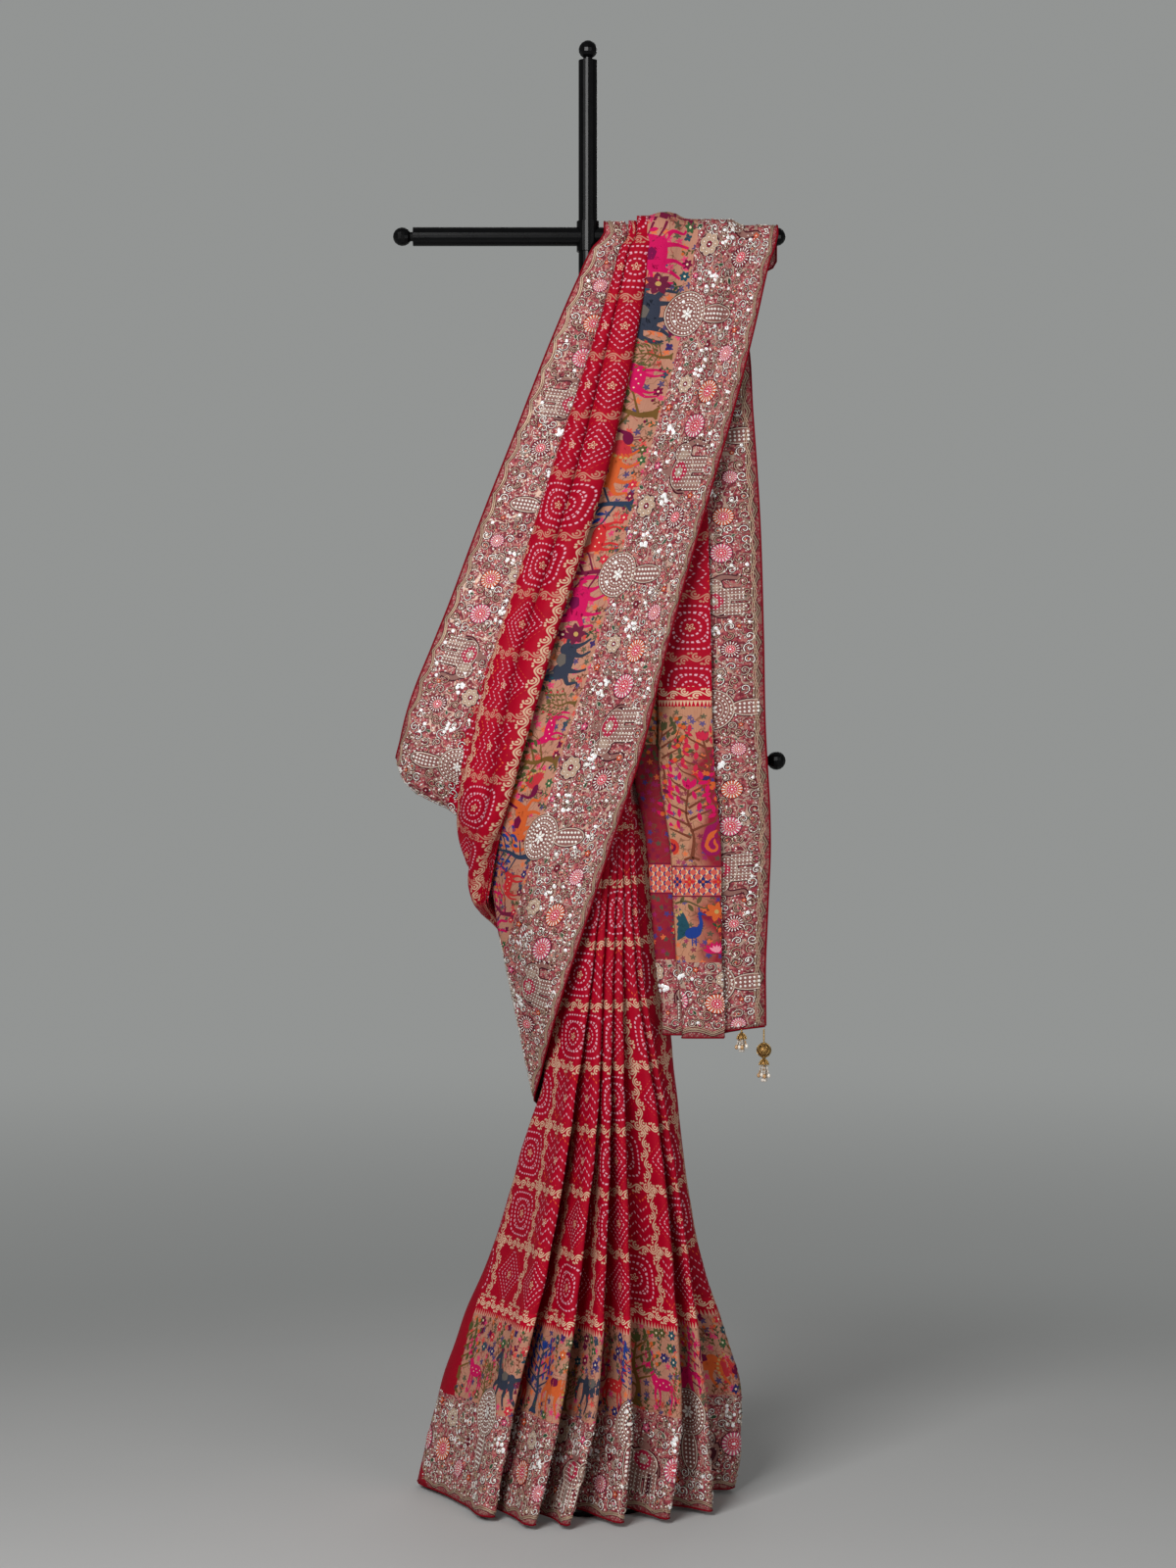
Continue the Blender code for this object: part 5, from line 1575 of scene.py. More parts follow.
def peacock(body, tail, eye):
    fan = [leaf(-.02, .42, .56, .11, 2.0 + .26 * k) for k in range(7)]
    eyes = [blob(-.02 + .46 * math.cos(2.0 + .26 * k), .42 + .46 * math.sin(2.0 + .26 * k), .038, .038) for k in range(7)]
    return [(tail, fan), (eye, eyes), (body, [blob(.04, .40, .17, .12, .3), limb([(.14, .44), (.20, .60), (.17, .76)], (.13, .07, .055)), blob(.18, .80, .05, .045),
            leaf(.21, .80, .10, .03, -.3), limb([(.17, .84), (.15, .93)], (.012, .03)), limb([(.02, .30), (.03, .12)], (.02, .02)), limb([(.09, .30), (.10, .12)], (.02, .02))])]


def paisley(c, inner):
    out = []
    for k, (col, s) in enumerate(((c, 1.0), (inner, .62), (c, .30))):
        out.append((col, [limb([(-.02, .08 + .25 * (1 - s)), (.06, .30), (.05, .30 + .42 * s), (-.16 * s, .36 + .56 * s)], (.30 * s, .44 * s, .22 * s, .03)),
                          blob(.02, .26, .22 * s, .22 * s)]))
    return out


def lotus(c, c2, leafc):
    return [(leafc, [leaf(0, .20, .40, .14, .25), leaf(0, .20, .40, .14, 2.9)]),
            (c, [leaf(0, .22, .56, .20, 1.57 + .42 * k) for k in (-3, -2, -1, 0, 1, 2, 3)]),
            (c2, [leaf(0, .24, .38, .12, 1.57 + .42 * k) for k in (-2, -1, 0, 1, 2)])]


def elephant(c, cloth_c, trim):
    return [(c, [blob(-.05, .50, .30, .22), blob(.27, .58, .15, .16), limb([(.36, .56), (.46, .38), (.42, .16), (.50, .10)], (.14, .09, .06, .05)),
                 limb([(.13, .38), (.13, .04)], (.13, .12)), limb([(.00, .36), (.00, .06)], (.11, .10)),
                 limb([(-.20, .36), (-.20, .04)], (.13, .12)), limb([(-.30, .40), (-.30, .06)], (.11, .10)),
                 limb([(-.33, .58), (-.40, .46), (-.39, .34)], (.03, .02, .03))]),
            (cloth_c, [blob(-.06, .56, .17, .15, 0, 4, .1)]), (trim, [blob(-.06, .57, .09, .08, 0, 6, .15), blob(.23, .57, .08, .11, .3)]),
            (c, [blob(-.06, .78, .11, .07), leaf(-.06, .82, .16, .09, 1.57)])]


def put_motif(work, place, motif, s, w, size, flip=1.0, turn=0.0, h=0.0):
    c, sn = math.cos(turn), math.sin(turn)
    allp, allf, allc, allh, n = [], [], [], [], 0
    for layer, (color, shapes) in enumerate(motif):
        for sh in shapes:
            P, F = shape_points(sh, size)
            P = P * np.array([flip, 1.0])
            P = np.stack([P[:, 0] * c - P[:, 1] * sn, P[:, 0] * sn + P[:, 1] * c], 1)
            allp.append(P + np.array([s, w]))
            allf.append(np.asarray(F) + n)
            allc.append(np.tile(color, (len(P), 1)))
            allh.append(np.full(len(P), h + layer * 0.00013))
            n += len(P)
    P, F, C, H = np.concatenate(allp), np.concatenate(allf), np.concatenate(allc), np.concatenate(allh)
    uv = place.to_uv(P)
    pos, nor, _, ok = place.patch.find(uv)
    ok &= (P[:, 0] > place.s0) & (P[:, 0] < place.s1) & (P[:, 1] > place.w0) & (P[:, 1] < place.w1)
    keep = ok[F].all(1)
    keep &= np.linalg.norm(pos[F[:, 0]] - pos[F[:, 1]], axis=1) < 0.02
    if not keep.any():
        return
    F = F[keep]
    used = np.unique(F)
    new = -np.ones(len(P), int)
    new[used] = np.arange(len(used))
    work.add((pos + nor * (LIFT + H)[:, None])[used], new[F], C[used])


def cord(work, place, sw, width, height, color):
    """A couched metal cord: a small ridge along a path."""
    sw = np.asarray(sw, float)
    d = np.gradient(sw, axis=0)
    d /= np.maximum(np.linalg.norm(d, axis=1, keepdims=True), 1e-9)
    side = np.stack([-d[:, 1], d[:, 0]], 1) * width / 2
    P = np.stack([sw - side, sw, sw + side], 1).reshape(-1, 2)
    H = np.tile([0.0, height, 0.0], len(sw))
    F = []
    for k in range(len(sw) - 1):
        a = 3 * k
        F += [(a, a + 3, a + 4), (a, a + 4, a + 1), (a + 1, a + 4, a + 5), (a + 1, a + 5, a + 2)]
    lay(work, place, P, F, color, H)


def studs(work, place, sw, radius, height, colors, sides=5, tilt=0.0):
    """Many small domed beads or flat mirrors, each standing on the cloth."""
    sw = np.asarray(sw, float)
    if not len(sw):
        return
    r = np.broadcast_to(np.asarray(radius, float), (len(sw),))
    hh = np.broadcast_to(np.asarray(height, float), (len(sw),))
    C = np.asarray(colors, float)
    C = np.tile(C, (len(sw), 1)) if C.ndim == 1 else C
    pos, nor, tu, ok = place.patch.find(place.to_uv(sw))
    ok &= (sw[:, 0] > place.s0) & (sw[:, 0] < place.s1) & (sw[:, 1] > place.w0) & (sw[:, 1] < place.w1)
    pos, nor, tu, r, hh, C = pos[ok], nor[ok], tu[ok], r[ok], hh[ok], C[ok]
    if not len(pos):
        return
    tv = np.cross(nor, tu)
    if tilt:
        rr = np.random.RandomState(5).uniform(-tilt, tilt, (len(pos), 2))
        nor2 = nor + tu * rr[:, :1] + tv * rr[:, 1:]
        nor2 /= np.linalg.norm(nor2, axis=1, keepdims=True)
    else:
        nor2 = nor
    base = pos + nor * (LIFT - 0.0001)
    rings = []
    for k in range(sides):
        a = 2 * math.pi * k / sides
        e = tu * math.cos(a) + tv * math.sin(a)
        rings.append(base + e * r[:, None])
    top = base + nor2 * hh[:, None]
    V = np.concatenate([np.stack(rings, 1), top[:, None]], 1)
    n = len(pos)
    off = (np.arange(n) * (sides + 1))[:, None, None]
    F = np.array([(k, (k + 1) % sides, sides) for k in range(sides)])[None] + off
    work.add(V.reshape(-1, 3), F.reshape(-1, 3), np.repeat(C, sides + 1, axis=0))


# ------------------------------------------------------- the decorated areas
ident = lambda p: p
skirt_places, skirt_low = [], []
u_starts = []
order = [r[0] for r in FOLDS]
for name in ("F1", "F2", "F3", "F4", "F5", "F6", "F7"):
    before = order[order.index(name) - 1]
    after = "B" + name[1:]
    ra = fine_row(TIP[before][1])
    mid = fine_row(TIP[name][1])
    rb = fine_row(TIP[after][0]) if after in TIP else fine_row(R_BACK + 2)
    for q0, q1, front in ((ra, mid, True), (mid, rb, False)):
        pt = Patch(q0, q1, 0, fine_col("M1"))
        lo = float(GU[q0:q1 + 1, :fine_col("T1b")].min())
        hi = float(GU[q0:q1 + 1, :fine_col("T1b")].max())
        skirt_places.append((Place(pt, ident, lo, hi, 0.004, 0.40), front))
r0, r1 = fine_row(R_SWATH - 4), fine_row(R_ARM + 4)
swath_low = Place(Patch(r0, r1, 0, fine_col("T1a")), ident, 2.6, U_ARM + 0.02, 0.004, 0.262)
swath_up = Place(Patch(r0, r1, fine_col("Bu"), FC - 1), lambda p: np.stack([p[:, 0], 1.12 - p[:, 1]], 1), 2.6, U_ARM + 0.05, 0.004, 0.098)
e0 = fine_row(R_END + 3)
end_side = Place(Patch(e0, FR - 1, fine_col("Bm"), FC - 1), lambda p: np.stack([6.4 - p[:, 0], 1.12 - p[:, 1]], 1), 0.002, 0.99, 0.004, 0.085)
end_foot_a = Place(Patch(e0, FR - 1, fine_col("Bm"), FC - 1), lambda p: np.stack([6.4 - p[:, 1], p[:, 0]], 1), 1.008, 1.035, 0.003, 0.098)
end_foot_b = Place(Patch(e0, FR - 1, fine_col("ba4"), fine_col("T3a")), lambda p: np.stack([6.4 - p[:, 1], p[:, 0]], 1), 0.90, 0.986, 0.003, 0.45)
end_foot_c = Place(Patch(e0, FR - 1, fine_col("M0"), fine_col("M2")), lambda p: np.stack([6.4 - p[:, 1], p[:, 0]], 1), 0.80, 0.90, 0.003, 0.45)
b0, b1 = fine_row(R_BACK), fine_row(R_SWATH)
back_low = Place(Patch(b0, b1, 0, fine_col("T1a")), ident, float(GU[b0, 0]), 3.0, 0.004, 0.262)
rear = Place(Patch(e0, FR - 1, 0, fine_col("E")), lambda p: np.stack([6.4 - p[:, 0], p[:, 1]], 1), 0.002, 0.99, 0.004, 0.1)


motifs = [Work("woven_motifs_" + n, M_THREAD) for n in ("skirt", "swath", "end")]
zari = [Work("couched_zari_" + n, M_ZARI) for n in ("skirt", "swath", "end")]
petals = [Work("worked_petals_" + n, M_PETAL) for n in ("skirt", "swath", "end")]
beads = [Work("beadwork_" + n, M_BEAD) for n in ("skirt", "swath", "end")]
REPEAT = 0.360
rng = np.random.RandomState(11)
# the third colour is a dark maroon laid under and beside the raised work as painted shade
SIL, PALE, PAINTED_SHADE = lin(206, 188, 172), lin(246, 240, 232), lin(70, 10, 26)
CHAMP, GREY = lin(188, 156, 132), lin(150, 128, 118)
ORA, ROS, WINE = lin(206, 88, 54), lin(206, 80, 114), lin(122, 10, 38)
MIRROR = lin(255, 255, 255)


def circle(s, w, r, n=22, ry=None):
    a = np.linspace(0, 2 * math.pi, n + 1)
    return np.stack([s + r * np.cos(a), w + (ry or r) * np.sin(a)], 1)


def path_spiral(x, y, r, turns, a0, way, n=13):
    t = np.linspace(0, 1, n)
    a = a0 + way * turns * 2 * math.pi * t
    rr = r * (1 - 0.86 * t)
    return np.stack([x + rr * np.cos(a), y + rr * np.sin(a)], 1)


def outlined(k, place, sw, width=0.0016, dark=0.0034, color=SIL, height=0.0011):
    """Couched cord with the shadow line of the ground beside it."""
    sw = np.asarray(sw, float)
    d = np.gradient(sw, axis=0)
    d /= np.maximum(np.linalg.norm(d, axis=1, keepdims=True), 1e-9)
    side = np.stack([-d[:, 1], d[:, 0]], 1) * dark / 2
    P = np.stack([sw - side, sw + side], 1).reshape(-1, 2)
    F = []
    for q in range(len(sw) - 1):
        a = 2 * q
        F += [(a, a + 2, a + 3), (a, a + 3, a + 1)]
    lay(petals[k], place, P, F, PAINTED_SHADE, 0.00012)
    cord(zari[k], place, sw, width, height, color)


def disc_on(k, place, s, w, r, color, h=0.0002):
    P, F = shape_points(blob(0, 0, 1, 1), r)
    lay(petals[k], place, P + np.array([s, w]), F, color, h)


def rosette(k, place, s, w, r, pcol, inner=None):
    # a dark disc a little wider than the rosette, laid under it: painted shade round its rim
    disc_on(k, place, s, w, r * 1.08, PAINTED_SHADE, 0.00015)
    disc_on(k, place, s, w, r, pcol, 0.0003)
    n = 17
    for q in range(n):
        a = 2 * math.pi * q / n
        P, F = shape_points(leaf(0.60 * math.cos(a), 0.60 * math.sin(a), 0.42, 0.12, a), r)
        lay(petals[k], place, P + np.array([s, w]), F, PALE, 0.0008)
    disc_on(k, place, s, w, r * 0.52, inner or CORALT, 0.0007)
    cord(zari[k], place, circle(s, w, r * 0.54, 16), 0.0013, 0.0012, SIL)
    a = np.linspace(0, 2 * math.pi, 9, endpoint=False)
    studs(beads[k], place, np.stack([s + 0.33 * r * np.cos(a), w + 0.33 * r * np.sin(a)], 1), 0.0013, 0.0019, PALE)
    studs(beads[k], place, [(s, w)], 0.0030, 0.0014, MIRROR, 8)


CORALT = lin(206, 70, 88)


def silver_flower(k, place, s, w, r, turn=0.0):
    # a dark disc a little wider than the flower, laid under it: painted shade round its rim
    disc_on(k, place, s, w, r * 1.02, PAINTED_SHADE, 0.00015)
    n = 7
    for q in range(n):
        a = turn + 2 * math.pi * q / n
        x, y = s + 0.62 * r * math.cos(a), w + 0.62 * r * math.sin(a)
        disc_on(k, place, x, y, r * 0.34, CHAMP, 0.0004)
        cord(zari[k], place, circle(x, y, r * 0.34, 9), 0.0012, 0.0012, SIL)
        studs(beads[k], place, [(x, y)], 0.0014, 0.0016, PALE)
    disc_on(k, place, s, w, r * 0.30, WINE, 0.0006)
    studs(beads[k], place, [(s, w)], 0.0022, 0.0018, MIRROR, 7)


def medallion(k, place, s, w, r, turn=-math.pi / 2):
    """Round worked disc with a corn-like tail."""
    dx, dy = math.cos(turn), math.sin(turn)
    # tail first: it comes out from under the disc
    L, half = r * 1.55, r * 0.40
    cx, cy = s + dx * (r + L * 0.45), w + dy * (r + L * 0.45)
    t = np.linspace(0, 2 * math.pi, 22)
    oval = np.stack([cx + dx * L * 0.56 * np.cos(t) - dy * half * np.sin(t), cy + dy * L * 0.56 * np.cos(t) + dx * half * np.sin(t)], 1)
    ctr = np.array([[cx, cy]])
    P = np.concatenate([ctr, 0.5 * (oval[:-1] + ctr), oval[:-1]])
    m = 21
    F = []
    for q in range(m):
        q2 = (q + 1) % m
        F += [(0, 1 + q, 1 + q2), (1 + q, 1 + m + q, 1 + m + q2), (1 + q, 1 + m + q2, 1 + q2)]
    lay(petals[k], place, P, F, lin(140, 90, 84), 0.0003)
    outlined(k, place, oval, 0.0017, 0.0040)
    rows = []
    for i in range(-1, 2):
        for j in range(8):
            a, b = -L * 0.42 + j * L * 0.125, i * half * 0.52
            if (a / (L * 0.5)) ** 2 + (b / half) ** 2 < 0.86:
                rows.append((cx + dx * a - dy * b, cy + dy * a + dx * b))
    studs(beads[k], place, rows, 0.0021, 0.0022, PALE, 6)
    # a dark disc a little wider than the medallion, laid under it: painted shade round its rim
    disc_on(k, place, s, w, r * 1.03, PAINTED_SHADE, 0.00018)
    disc_on(k, place, s, w, r * 0.98, lin(138, 84, 78), 0.0004)
    for q, rr in enumerate((0.88, 0.66, 0.42)):
        n = int(2 * math.pi * rr * r / 0.0052)
        a = np.linspace(0, 2 * math.pi, n, endpoint=False) + q
        pts = np.stack([s + rr * r * np.cos(a), w + rr * r * np.sin(a)], 1)
        studs(beads[k], place, pts, 0.0019, 0.0021, PALE, 6)
        # low dark studs between the rings of beads: painted shade between the beads
        a = a + math.pi / n
        rr2 = rr - 0.11
        studs(beads[k], place, np.stack([s + rr2 * r * np.cos(a), w + rr2 * r * np.sin(a)], 1), 0.0015, 0.0008, PAINTED_SHADE, 6)
    outlined(k, place, circle(s, w, r, 28), 0.0018, 0.0034)
    cord(zari[k], place, circle(s, w, r * 0.76, 24), 0.0013, 0.0013, SIL)
    cord(zari[k], place, circle(s, w, r * 0.54, 18), 0.0013, 0.0013, SIL)
    for q in range(6):
        a = q * math.pi / 3
        P, F = shape_points(leaf(0.06 * math.cos(a), 0.06 * math.sin(a), 0.26, 0.15, a), r)
        lay(petals[k], place, P + np.array([s, w]), F, PALE, 0.0010)
    studs(beads[k], place, [(s, w), (s + r * 0.55, w + r * 0.30), (s - r * 0.35, w + r * 0.52)], 0.0032, 0.0016, MIRROR, 8)


def worked_elephant(k, place, s, w, size, flip=1.0):
    body = elephant(lin(144, 100, 92), lin(176, 34, 66), lin(176, 148, 132))
    # a dark copy of the body, a little larger, laid under it: painted shade round the raised elephant
    shade_rim = [(PAINTED_SHADE, [tuple(list(sh[:3]) + [sh[3] + 0.03, sh[4] + 0.03] + list(sh[5:])) if sh[0] == "blob" else
                   ("limb", sh[1], tuple(x + 0.055 for x in sh[2])) if sh[0] == "limb" else sh for sh in body[0][1]])]
    put_motif(petals[k], place, shade_rim, s, w, size, flip, h=0.00012)
    put_motif(petals[k], place, body, s, w, size, flip, h=0.0004)
    rows = []
    for col in np.arange(-0.35, 0.42, 0.066):
        for row in np.arange(0.05, 0.78, 0.066):
            inside = ((col + 0.05) / 0.29) ** 2 + ((row - 0.50) / 0.21) ** 2 < 1 or ((col - 0.27) / 0.14) ** 2 + ((row - 0.58) / 0.15) ** 2 < 1
            legs = row < 0.40 and any(abs(col - c) < 0.05 for c in (0.13, 0.0, -0.20, -0.30))
            if inside or legs:
                rows.append((s + flip * col * size, w + row * size))
    studs(beads[k], place, rows, 0.0015, 0.0018, PALE)
    for c in (0.13, 0.0, -0.20, -0.30):
        for dx in (-0.062, 0.062):
            outlined(k, place, [(s + flip * (c + dx) * size, w + 0.02 * size), (s + flip * (c + dx) * size, w + 0.18 * size), (s + flip * (c + dx) * size, w + 0.36 * size)], 0.0012, 0.0024)
    for color, shapes in body[:1]:
        for sh in shapes:
            if sh[0] == "blob":
                cord(zari[k], place, circle(s + flip * sh[1] * size, w + sh[2] * size, sh[3] * size, 20, sh[4] * size), 0.0014, 0.0014, SIL)
    studs(beads[k], place, [(s + flip * 0.33 * size, w + 0.62 * size), (s - flip * 0.06 * size, w + 0.57 * size)], 0.0026, 0.0018, MIRROR, 7)


def green_leaf(k, place, s, w, size, turn):
    c, sn = math.cos(turn), math.sin(turn)
    P, F = shape_points(leaf(0, 0, 1.0, 0.52, 0), size)
    P = np.stack([P[:, 0] * c - P[:, 1] * sn, P[:, 0] * sn + P[:, 1] * c], 1) + np.array([s, w])
    lay(petals[k], place, P, F, LEAF, 0.0007)
    edge = np.concatenate([P[0::2], P[1::2][::-1]])
    cord(zari[k], place, edge, 0.0010, 0.0010, SIL)


# one repeat of the border: kind, along (m), from the edge (m), size (m), turn or tint
BORDER = (
    ("disc", 0.000, 0.126, 0.0300, 0),
    ("mirrors", 0.048, 0.092, 0.012, 0), ("small", 0.052, 0.122, 0.0080, ROS), ("leaf", 0.040, 0.060, 0.0100, 0.9),
    ("rosette", 0.078, 0.050, 0.0140, WINE), ("silver", 0.094, 0.108, 0.0160, 0.3), ("leaf", 0.066, 0.076, 0.0095, 2.2),
    ("mirrors", 0.104, 0.078, 0.010, 1), ("small", 0.108, 0.034, 0.0080, ORA),
    ("elephant", 0.146, 0.020, 0.0820, 0), ("small", 0.150, 0.108, 0.0100, ROS), ("leaf", 0.184, 0.100, 0.0100, 0.4),
    ("leaf", 0.118, 0.122, 0.0100, 2.6), ("rosette", 0.206, 0.062, 0.0162, ROS), ("mirrors", 0.206, 0.104, 0.013, 2),
    ("small", 0.232, 0.118, 0.0090, ORA), ("leaf", 0.230, 0.036, 0.0100, 1.2), ("rosette", 0.254, 0.056, 0.0155, ORA),
    ("silver", 0.264, 0.100, 0.0130, 0.0), ("mirrors", 0.286, 0.078, 0.012, 3), ("leaf", 0.290, 0.112, 0.0100, 0.2),
    ("rosette", 0.306, 0.040, 0.0110, ROS), ("small", 0.318, 0.078, 0.0090, WINE), ("leaf", 0.324, 0.104, 0.0095, 2.9),
    ("small", 0.338, 0.034, 0.0080, ORA),
)


def worked_border(k, place, s0, s1, top, phase, fine=1.0, deep=0.0058, lift=0.0, disc_at=None):
    """The worked border from its edge to top, in repeats of 0.36 m."""
    q = (top - 0.012) / 0.118
    rnd = random.Random(int(s0 * 1000) + k)
    spots = []
    s = np.arange(s0, s1, 0.0026)
    for off in (0.0030, 0.0052):
        cord(zari[k], place, np.stack([s, off + lift + deep * np.abs(np.sin(s * math.pi / 0.044))], 1), 0.0011, 0.0010, CHAMP)
    bs = np.arange(s0, s1, 0.0088)
    studs(beads[k], place, np.stack([bs, 0.0090 + lift + deep * np.abs(np.sin(bs * math.pi / 0.044))], 1), 0.0012, 0.0016, PALE)
    n0 = int(math.floor((s0 - phase) / REPEAT)) - 1
    n1 = int(math.ceil((s1 - phase) / REPEAT)) + 1
    for m in range(n0, n1 + 1):
        for kind, du, w, size, extra in BORDER:
            u = phase + m * REPEAT + du
            w = 0.012 + (w - 0.012) * q
            size = size * (0.35 + 0.65 * q)
            if kind == "leaf" or kind == "small" or kind == "mirrors":
                size = size * (0.5 + 0.5 * q)
            if u < s0 - 0.05 or u > s1 + 0.05:
                continue
            if kind == "disc":
                if disc_at:
                    w, size = disc_at
                medallion(k, place, u, w, size)
                spots += [(u, w, size * 1.08), (u, w - size * 1.5, size * 0.6), (u, w - size * 2.1, size * 0.5)]
            elif kind == "elephant":
                worked_elephant(k, place, u, w, size, 1 if m % 2 else -1)
                spots += [(u - 0.01, w + size * 0.45, size * 0.34), (u + 0.01, w + size * 0.45, size * 0.34)]
            elif kind == "rosette":
                rosette(k, place, u, w, size, extra)
                spots.append((u, w, size * 1.12))
            elif kind == "silver":
                silver_flower(k, place, u, w, size, extra)
                spots.append((u, w, size * 1.1))
            elif kind == "leaf":
                green_leaf(k, place, u, w, size, extra + m)
                spots.append((u, w, size * 0.5))
            elif kind == "small":
                # a dark disc under the small flower: painted shade round its rim
                disc_on(k, place, u, w, size * 0.62, PAINTED_SHADE, 0.00015)
                put_motif(petals[k], place, [(extra, [leaf(0, 0, 0.62, 0.40, 2 * math.pi * z / 5) for z in range(5)]), (PALE, [blob(0, 0, 0.14, 0.14)])], u, w, size, h=0.0006)
                spots.append((u, w, size * 0.6))
            else:
                P = [(u + rnd.uniform(-1, 1) * size, w + rnd.uniform(-1, 1) * size * 0.8) for _ in range(7)]
                studs(beads[k], place, P, 0.0027, 0.0011, MIRROR, 8, tilt=0.3)
    # couched volutes fill the ground between them
    step = 0.0142 / math.sqrt(fine)
    for a in np.arange(s0, s1 + step, step):
        for b in np.arange(0.0175, top, step):
            x, y = a + rnd.uniform(-0.30, 0.30) * step, b + rnd.uniform(-0.30, 0.30) * step
            r = rnd.uniform(0.0054, 0.0074)
            if any((x - u) ** 2 + (y - w) ** 2 < (z + r * 0.35) ** 2 for u, w, z in spots):
                continue
            if y + r > top + 0.006:
                continue
            outlined(k, place, path_spiral(x, y, r, rnd.uniform(1.0, 1.35), rnd.uniform(0, 6.28), rnd.choice((-1, 1))), 0.0013, 0.0029, rnd.choice((SIL, PALE, CHAMP)))
            pick = rnd.random()
            if pick < 0.30:
                studs(beads[k], place, [(x, y)], 0.0017, 0.0018, rnd.choice((PALE, ORA, ROS, WINE)), 6)
            elif pick < 0.42:
                studs(beads[k], place, [(x + r, y)], 0.0026, 0.0011, MIRROR, 7, tilt=0.3)
    n = int((s1 - s0) * (top - 0.012) / (0.0078 ** 2) * fine)
    S = np.stack([rng.uniform(s0, s1, n), rng.uniform(0.016, top, n)], 1)
    away = np.ones(n, bool)
    for x, y, r in spots:
        away &= ((S[:, 0] - x) ** 2 + (S[:, 1] - y) ** 2) > (r * 0.9) ** 2
    S = S[away]
    pick = rng.rand(len(S))
    C = np.tile(np.array(PALE), (len(S), 1))
    C[pick < 0.16] = lin(232, 128, 112)
    C[(pick >= 0.20) & (pick < 0.32)] = WINE
    C[(pick >= 0.32) & (pick < 0.40)] = LEAF
    studs(beads[k], place, S, rng.uniform(0.0011, 0.0016, len(S)), 0.0016, C)


ZEBU = ((lin(52, 58, 74), lin(104, 96, 90)), (PINK, lin(120, 10, 70)), (ORANGE, MAROON), (REDD, CREAM), (MAROON, PINK))
# one repeat of the woven band: kind, along, height, size, colours
WOVEN = (
    ("horse", 0.030, 0.136, 0.080, 0), ("sprig", 0.068, 0.140, 0.045, 0), ("horse", 0.108, 0.138, 0.078, 1),
    ("tree", 0.152, 0.133, 0.105, 0), ("deer", 0.200, 0.138, 0.076, 3), ("tree", 0.246, 0.133, 0.104, 1),
    ("horse", 0.292, 0.138, 0.078, 2), ("bird", 0.336, 0.142, 0.052, 4), ("tree", 0.374, 0.133, 0.106, 2),
    ("deer", 0.418, 0.138, 0.074, 1), ("bush", 0.452, 0.134, 0.058, 0),
)
WLEN = 0.480


def brocade_row(k, place, s0, s1, phase):
    rnd = random.Random(int(s0 * 777) + 3)
    taken = []
    for m in range(int((s0 - phase) / WLEN) - 1, int((s1 - phase) / WLEN) + 2):
        for i, (kind, du, w, size, c) in enumerate(WOVEN):
            u = phase + m * WLEN + du
            if u < s0 - 0.05 or u > s1 + 0.05:
                continue
            flip = 1 if (i + m) % 2 else -1
            if kind == "horse":
                put_motif(motifs[k], place, horse(*ZEBU[c]), u, w, size, flip)
                taken.append((u, w + size * 0.42, size * 0.40))
            elif kind == "deer":
                put_motif(motifs[k], place, deer(*(ZEBU[c] if c == 3 else (ZEBU[c][0], CREAM))), u, w, size, flip)
                taken.append((u, w + size * 0.42, size * 0.38))
            elif kind == "tree":
                tc, lc, fr = ((lin(120, 24, 60), PINK, ORANGE), (lin(44, 60, 84), BLUE, lin(150, 60, 90)), (lin(116, 84, 40), lin(84, 88, 48), ORANGE))[c]
                put_motif(motifs[k], place, tree(tc, lc, fr, i + 3), u, w, size, flip)
                taken += [(u, w + size * 0.55, size * 0.34), (u, w + size * 0.2, size * 0.12), (u, w + size * 0.8, size * 0.25)]
            elif kind == "bird":
                put_motif(motifs[k], place, peacock(MAROON, lin(196, 50, 60), GOLD), u, w, size, flip)
                taken.append((u, w + size * 0.5, size * 0.5))
            elif kind == "sprig":
                put_motif(motifs[k], place, flower(lin(110, 30, 60), GOLD, 7, LEAF), u, w, size, flip)
                taken.append((u, w + size * 0.5, size * 0.45))
            else:
                put_motif(motifs[k], place, tree(lin(110, 84, 44), lin(98, 92, 50), lin(200, 40, 60), 8), u, w, size, flip)
                taken.append((u, w + size * 0.5, size * 0.42))
    step = 0.0158
    bl = (lin(118, 18, 58), lin(118, 18, 58), INDIGO, TEAL, lin(206, 44, 62), lin(86, 84, 46), ORANGE, lin(60, 96, 60))
    for a in np.arange(s0, s1 + step, step):
        for j, b in enumerate(np.arange(0.139, 0.236, step)):
            x, y = a + (step / 2 if j % 2 else 0) + rnd.uniform(-0.2, 0.2) * step, b + rnd.uniform(-0.18, 0.18) * step
            if any((x - u) ** 2 + (y - w) ** 2 < (z + 0.002) ** 2 for u, w, z in taken):
                continue
            c = rnd.choice(bl)
            pick = rnd.random()
            if pick < 0.42:
                put_motif(motifs[k], place, [(c, [leaf(0, 0, 0.60, 0.36, 2 * math.pi * z / 6 + a) for z in range(6)]), (CREAM, [blob(0, 0, 0.13, 0.13)])], x, y, 0.0125)
            elif pick < 0.60:
                put_motif(motifs[k], place, butterfly(rnd.choice((INDIGO, TEAL, MAROON)), MAROON), x, y - 0.007, 0.0155, turn=rnd.uniform(-0.6, 0.6))
            else:
                st = rnd.choice((lin(86, 84, 46), lin(60, 84, 54), lin(120, 70, 50)))
                put_motif(motifs[k], place, [(st, [limb([(0, -0.5), (0.06, 0), (0, 0.5)], (0.07, 0.06, 0.04))] + [leaf(0.02, -0.35 + 0.22 * z, 0.34, 0.15, 0.75 if z % 2 else 2.4) for z in range(4)]), (c, [blob(0, 0.52, 0.13, 0.13)])], x, y, 0.0165, turn=rnd.uniform(-0.5, 0.5))


